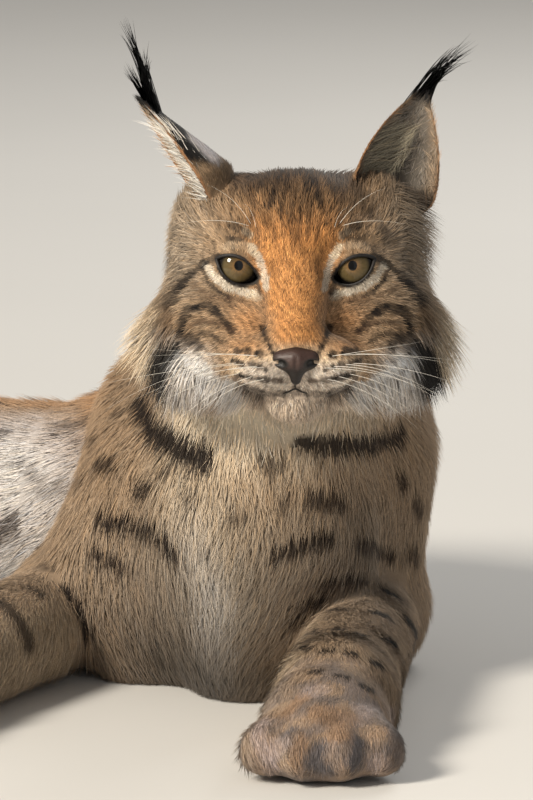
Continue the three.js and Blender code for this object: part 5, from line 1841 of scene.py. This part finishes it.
noseCentre = fromHead(np.array([(0, -38, -60)]))[0]
noseGrid = {
    "low": noseCentre - 24, "high": noseCentre + 24, "coarse": 1.0,
    "bands": [[(c - 23, c + 23, noseLook["cell"])] for c in noseCentre],
}
nosePoints, noseFaces, _ = makeSkinShape(noseField, noseGrid)
noseLeather = meshObject("noseLeather", nosePoints, noseFaces)
setColours(noseLeather, noseTones(nosePoints), "noseColour")
noseLeather.data.materials.append(noseMaterial())
finish(noseLeather, "nose_leather", "nose")

# The lips and the groove under the nose, where the photo's pixels show them
mouthLook = {
    "lips": [(283, 393.5), (289, 391.5), (295, 388.5), (301, 391.5), (307, 393.5)],
    "groove": [(295, 382), (295, 386), (295, 389)], "thick": 0.65, "grooveThick": 0.5, "proud": 0.1,
}


def throughPoints(line, steps=6):
    ends = np.vstack([2 * line[0] - line[1], line, 2 * line[-1] - line[-2]])
    made = []
    for k in range(len(line) - 1):
        made += [curvePoint(ends[k:k + 4], t) for t in np.linspace(0, 1, steps, endpoint=False)]
    return np.array(made + [line[-1]])


def lineOnSkin(pixels):
    seats = toHead(np.array([onSkinAt(pixel) for pixel in throughPoints(np.array(pixels, float))]))
    for _ in range(3):
        seats[1:-1] = (seats[:-2] + 2 * seats[1:-1] + seats[2:]) / 4
    return seats + (0, -mouthLook["proud"], 0)


lips = lineOnSkin(mouthLook["lips"])
lipThick = mouthLook["thick"] * np.sin(np.linspace(0.2, math.pi - 0.2, len(lips)))**0.5
makeTube("lips", "nose_leather", lips, lipThick, darkSkin)
makeTube("philtrum", "nose_leather", lineOnSkin(mouthLook["groove"]), mouthLook["grooveThick"], darkSkin)
print("nose and mouth made")

# Whiskers and brow hairs: tubes grown along guide lines
whiskerRule = {"thickness": 0.00015, "sides": 5, "dark": (214, 206, 190), "pale": (246, 243, 236)}
# Where each row starts and ends on the muzzle, in photo pixels of the left half and mirrored on the other
whiskerRows = [
    {"from": (237, 354), "to": (258, 356), "count": 3, "length": (52, 74), "lift": 0.06, "droop": -0.10},
    {"from": (236, 363), "to": (266, 368), "count": 4, "length": (62, 88), "lift": -0.02, "droop": -0.26},
    {"from": (240, 374), "to": (262, 379), "count": 3, "length": (44, 62), "lift": -0.22, "droop": -0.30},
]
browRows = [
    {"at": (251, 224), "length": 46, "way": (-0.55, -0.5, 0.95)},
    {"at": (249, 226), "length": 40, "way": (-0.9, -0.5, 0.35)},
    {"at": (256, 228), "length": 26, "way": (-0.2, -0.6, 0.9)},
]
# The column of the photo's pixels that the face is mirrored on
mirrorPixel = 295.25


def whiskerLines():
    lines = []
    s = np.linspace(0, 1, 12)[:, None]
    for side in (1, -1):
        def seat(pixel):
            x = mirrorPixel + side * (mirrorPixel - pixel[0])
            return toHead(onSkinAt((x, pixel[1]))[None])[0]
        for row in whiskerRows:
            for i in range(row["count"]):
                t = (i + draw.uniform(-0.2, 0.2)) / max(row["count"] - 1, 1)
                start = seat(np.array(row["from"]) * (1 - t) + np.array(row["to"]) * t)
                length = draw.uniform(*row["length"])
                ahead, rise = -0.22 + draw.normal(0, 0.1), row["lift"] + draw.normal(0, 0.05)
                way = unit(np.array([side * 1.0, ahead, rise]))
                droop = np.array([0, 0.30, row["droop"] + draw.normal(0, 0.06)])
                lines.append(start + way * length * s + droop * length * s**2)
        for row in browRows:
            start = seat(row["at"])
            way = unit(np.array(row["way"]) * (-side, 1, 1) + draw.normal(0, 0.06, 3))
            droop = np.array([side * 0.15, 0.35, -0.25])
            lines.append(start + way * row["length"] * s + droop * row["length"] * s**2)
    return lines


def growTree(material):
    tree = bpy.data.node_groups.new("growWhiskers", "GeometryNodeTree")
    face = tree.interface
    face.new_socket("Geometry", in_out="INPUT", socket_type="NodeSocketGeometry")
    thickness = face.new_socket("Thickness", in_out="INPUT", socket_type="NodeSocketFloat")
    sides = face.new_socket("Sides", in_out="INPUT", socket_type="NodeSocketInt")
    face.new_socket("Geometry", in_out="OUTPUT", socket_type="NodeSocketGeometry")
    n = tree.nodes
    start, end = n.new("NodeGroupInput"), n.new("NodeGroupOutput")
    curve = n.new("GeometryNodeMeshToCurve")
    along = n.new("GeometryNodeSplineParameter")
    taper = n.new("ShaderNodeMapRange")
    taper.inputs["From Min"].default_value = 0.0
    taper.inputs["From Max"].default_value = 1.0
    taper.inputs["To Min"].default_value = 1.0
    taper.inputs["To Max"].default_value = 0.08
    size = n.new("ShaderNodeMath")
    size.operation = "MULTIPLY"
    widen = n.new("GeometryNodeSetCurveRadius")
    ring = n.new("GeometryNodeCurvePrimitiveCircle")
    ring.inputs["Radius"].default_value = 1.0
    tube = n.new("GeometryNodeCurveToMesh")
    tube.inputs["Fill Caps"].default_value = True
    real = n.new("GeometryNodeRealizeInstances")
    dress = n.new("GeometryNodeSetMaterial")
    dress.inputs["Material"].default_value = material
    joins = [
        (start, "Geometry", curve, "Mesh"), (curve, "Curve", widen, "Curve"), (along, "Factor", taper, "Value"),
        (taper, "Result", size, 0), (start, "Thickness", size, 1), (size, "Value", widen, "Radius"),
        (start, "Sides", ring, "Resolution"), (widen, "Curve", tube, "Curve"),
        (ring, "Curve", tube, "Profile Curve"), (tube, "Mesh", real, "Geometry"),
        (real, "Geometry", dress, "Geometry"), (dress, "Geometry", end, "Geometry"),
    ]
    if "Scale" in tube.inputs:
        joins.append((size, "Value", tube, "Scale"))
    for source, output, target, socket in joins:
        tree.links.new(source.outputs[output], target.inputs[socket])
    return tree, thickness.identifier, sides.identifier


def makeWhiskers():
    material, nodes, links, shader = newMaterial("whisker", {"Roughness": 0.35})
    noise = texture(nodes, links, "Noise", 60)
    twoTones(nodes, links, shader, noise, tone(*whiskerRule["dark"]), tone(*whiskerRule["pale"]))
    lines = whiskerLines()
    points = np.vstack([fromHead(line) for line in lines]) * mm
    edges = []
    start = 0
    for line in lines:
        edges += [(start + i, start + i + 1) for i in range(len(line) - 1)]
        start += len(line)
    guide = bpy.data.meshes.new("whiskerGuides")
    guide.from_pydata(points.tolist(), edges, [])
    grown = placed("whiskerGuides", guide)
    tree, thickness, sides = growTree(material)
    modifier = grown.modifiers.new("grow", "NODES")
    modifier.node_group = tree
    modifier[thickness] = whiskerRule["thickness"]
    modifier[sides] = whiskerRule["sides"]
    view = bpy.context.evaluated_depsgraph_get()
    mesh = bpy.data.meshes.new_from_object(grown.evaluated_get(view))
    bpy.data.objects.remove(grown)
    mesh.name = "whiskers"
    finish(placed("whiskers", mesh), "face_coat")


makeWhiskers()
print("whiskers grown")

# Floor and light
floorLook = {"size": 14.0, "colour": (214, 212, 208)}


def makeFloor():
    size = floorLook["size"]
    mesh = bpy.data.meshes.new("floor")
    corners = [(-size, -size, 0), (size, -size, 0), (size, size, 0), (-size, size, 0)]
    mesh.from_pydata(corners, [], [(0, 1, 2, 3)])
    floor = placed("floor", mesh)
    material, nodes, links, shader = newMaterial("paleFloor", {"Roughness": 0.8})
    base = tone(*floorLook["colour"])
    twoTones(nodes, links, shader, texture(nodes, links, "Noise", 3), base * 0.96, base)
    floor.data.materials.append(material)


def areaLight(name, place, target, size, power, colour):
    data = bpy.data.lights.new(name, "AREA")
    data.size = size
    data.energy = power
    data.color = colour
    aim(placed(name, data), place, Vector(target) - Vector(place))


# Each light's place, target, size, power and colour
studio = {
    "key": ((-2.2, -2.1, 2.2), (0, -0.1, 0.25), 0.9, 186, (1.0, 0.92, 0.80)),
    "fill": ((1.2, -3.2, 1.2), (0, 0, 0.2), 2.4, 8, (0.90, 0.95, 1.0)),
    "back": ((1.2, 2.4, 2.2), (-0.1, 0.1, 0.2), 1.6, 46, (1.0, 0.98, 0.94)),
}
worldLight = {"colour": (0.90, 0.885, 0.865), "strength": 0.31}
makeFloor()
for lightName, (place, target, size, power, colour) in studio.items():
    areaLight(lightName + "Light", place, target, size, power, colour)
world = bpy.data.worlds.new("studio")
bpy.context.scene.world = world
world.use_nodes = True
world.node_tree.nodes["Background"].inputs["Color"].default_value = (*worldLight["colour"], 1)
world.node_tree.nodes["Background"].inputs["Strength"].default_value = worldLight["strength"]
bpy.context.scene.view_settings.view_transform = "Standard"
print("floor and lights set")

print("coat triangles:", sum(coatCount), "largest piece:", max(coatCount))
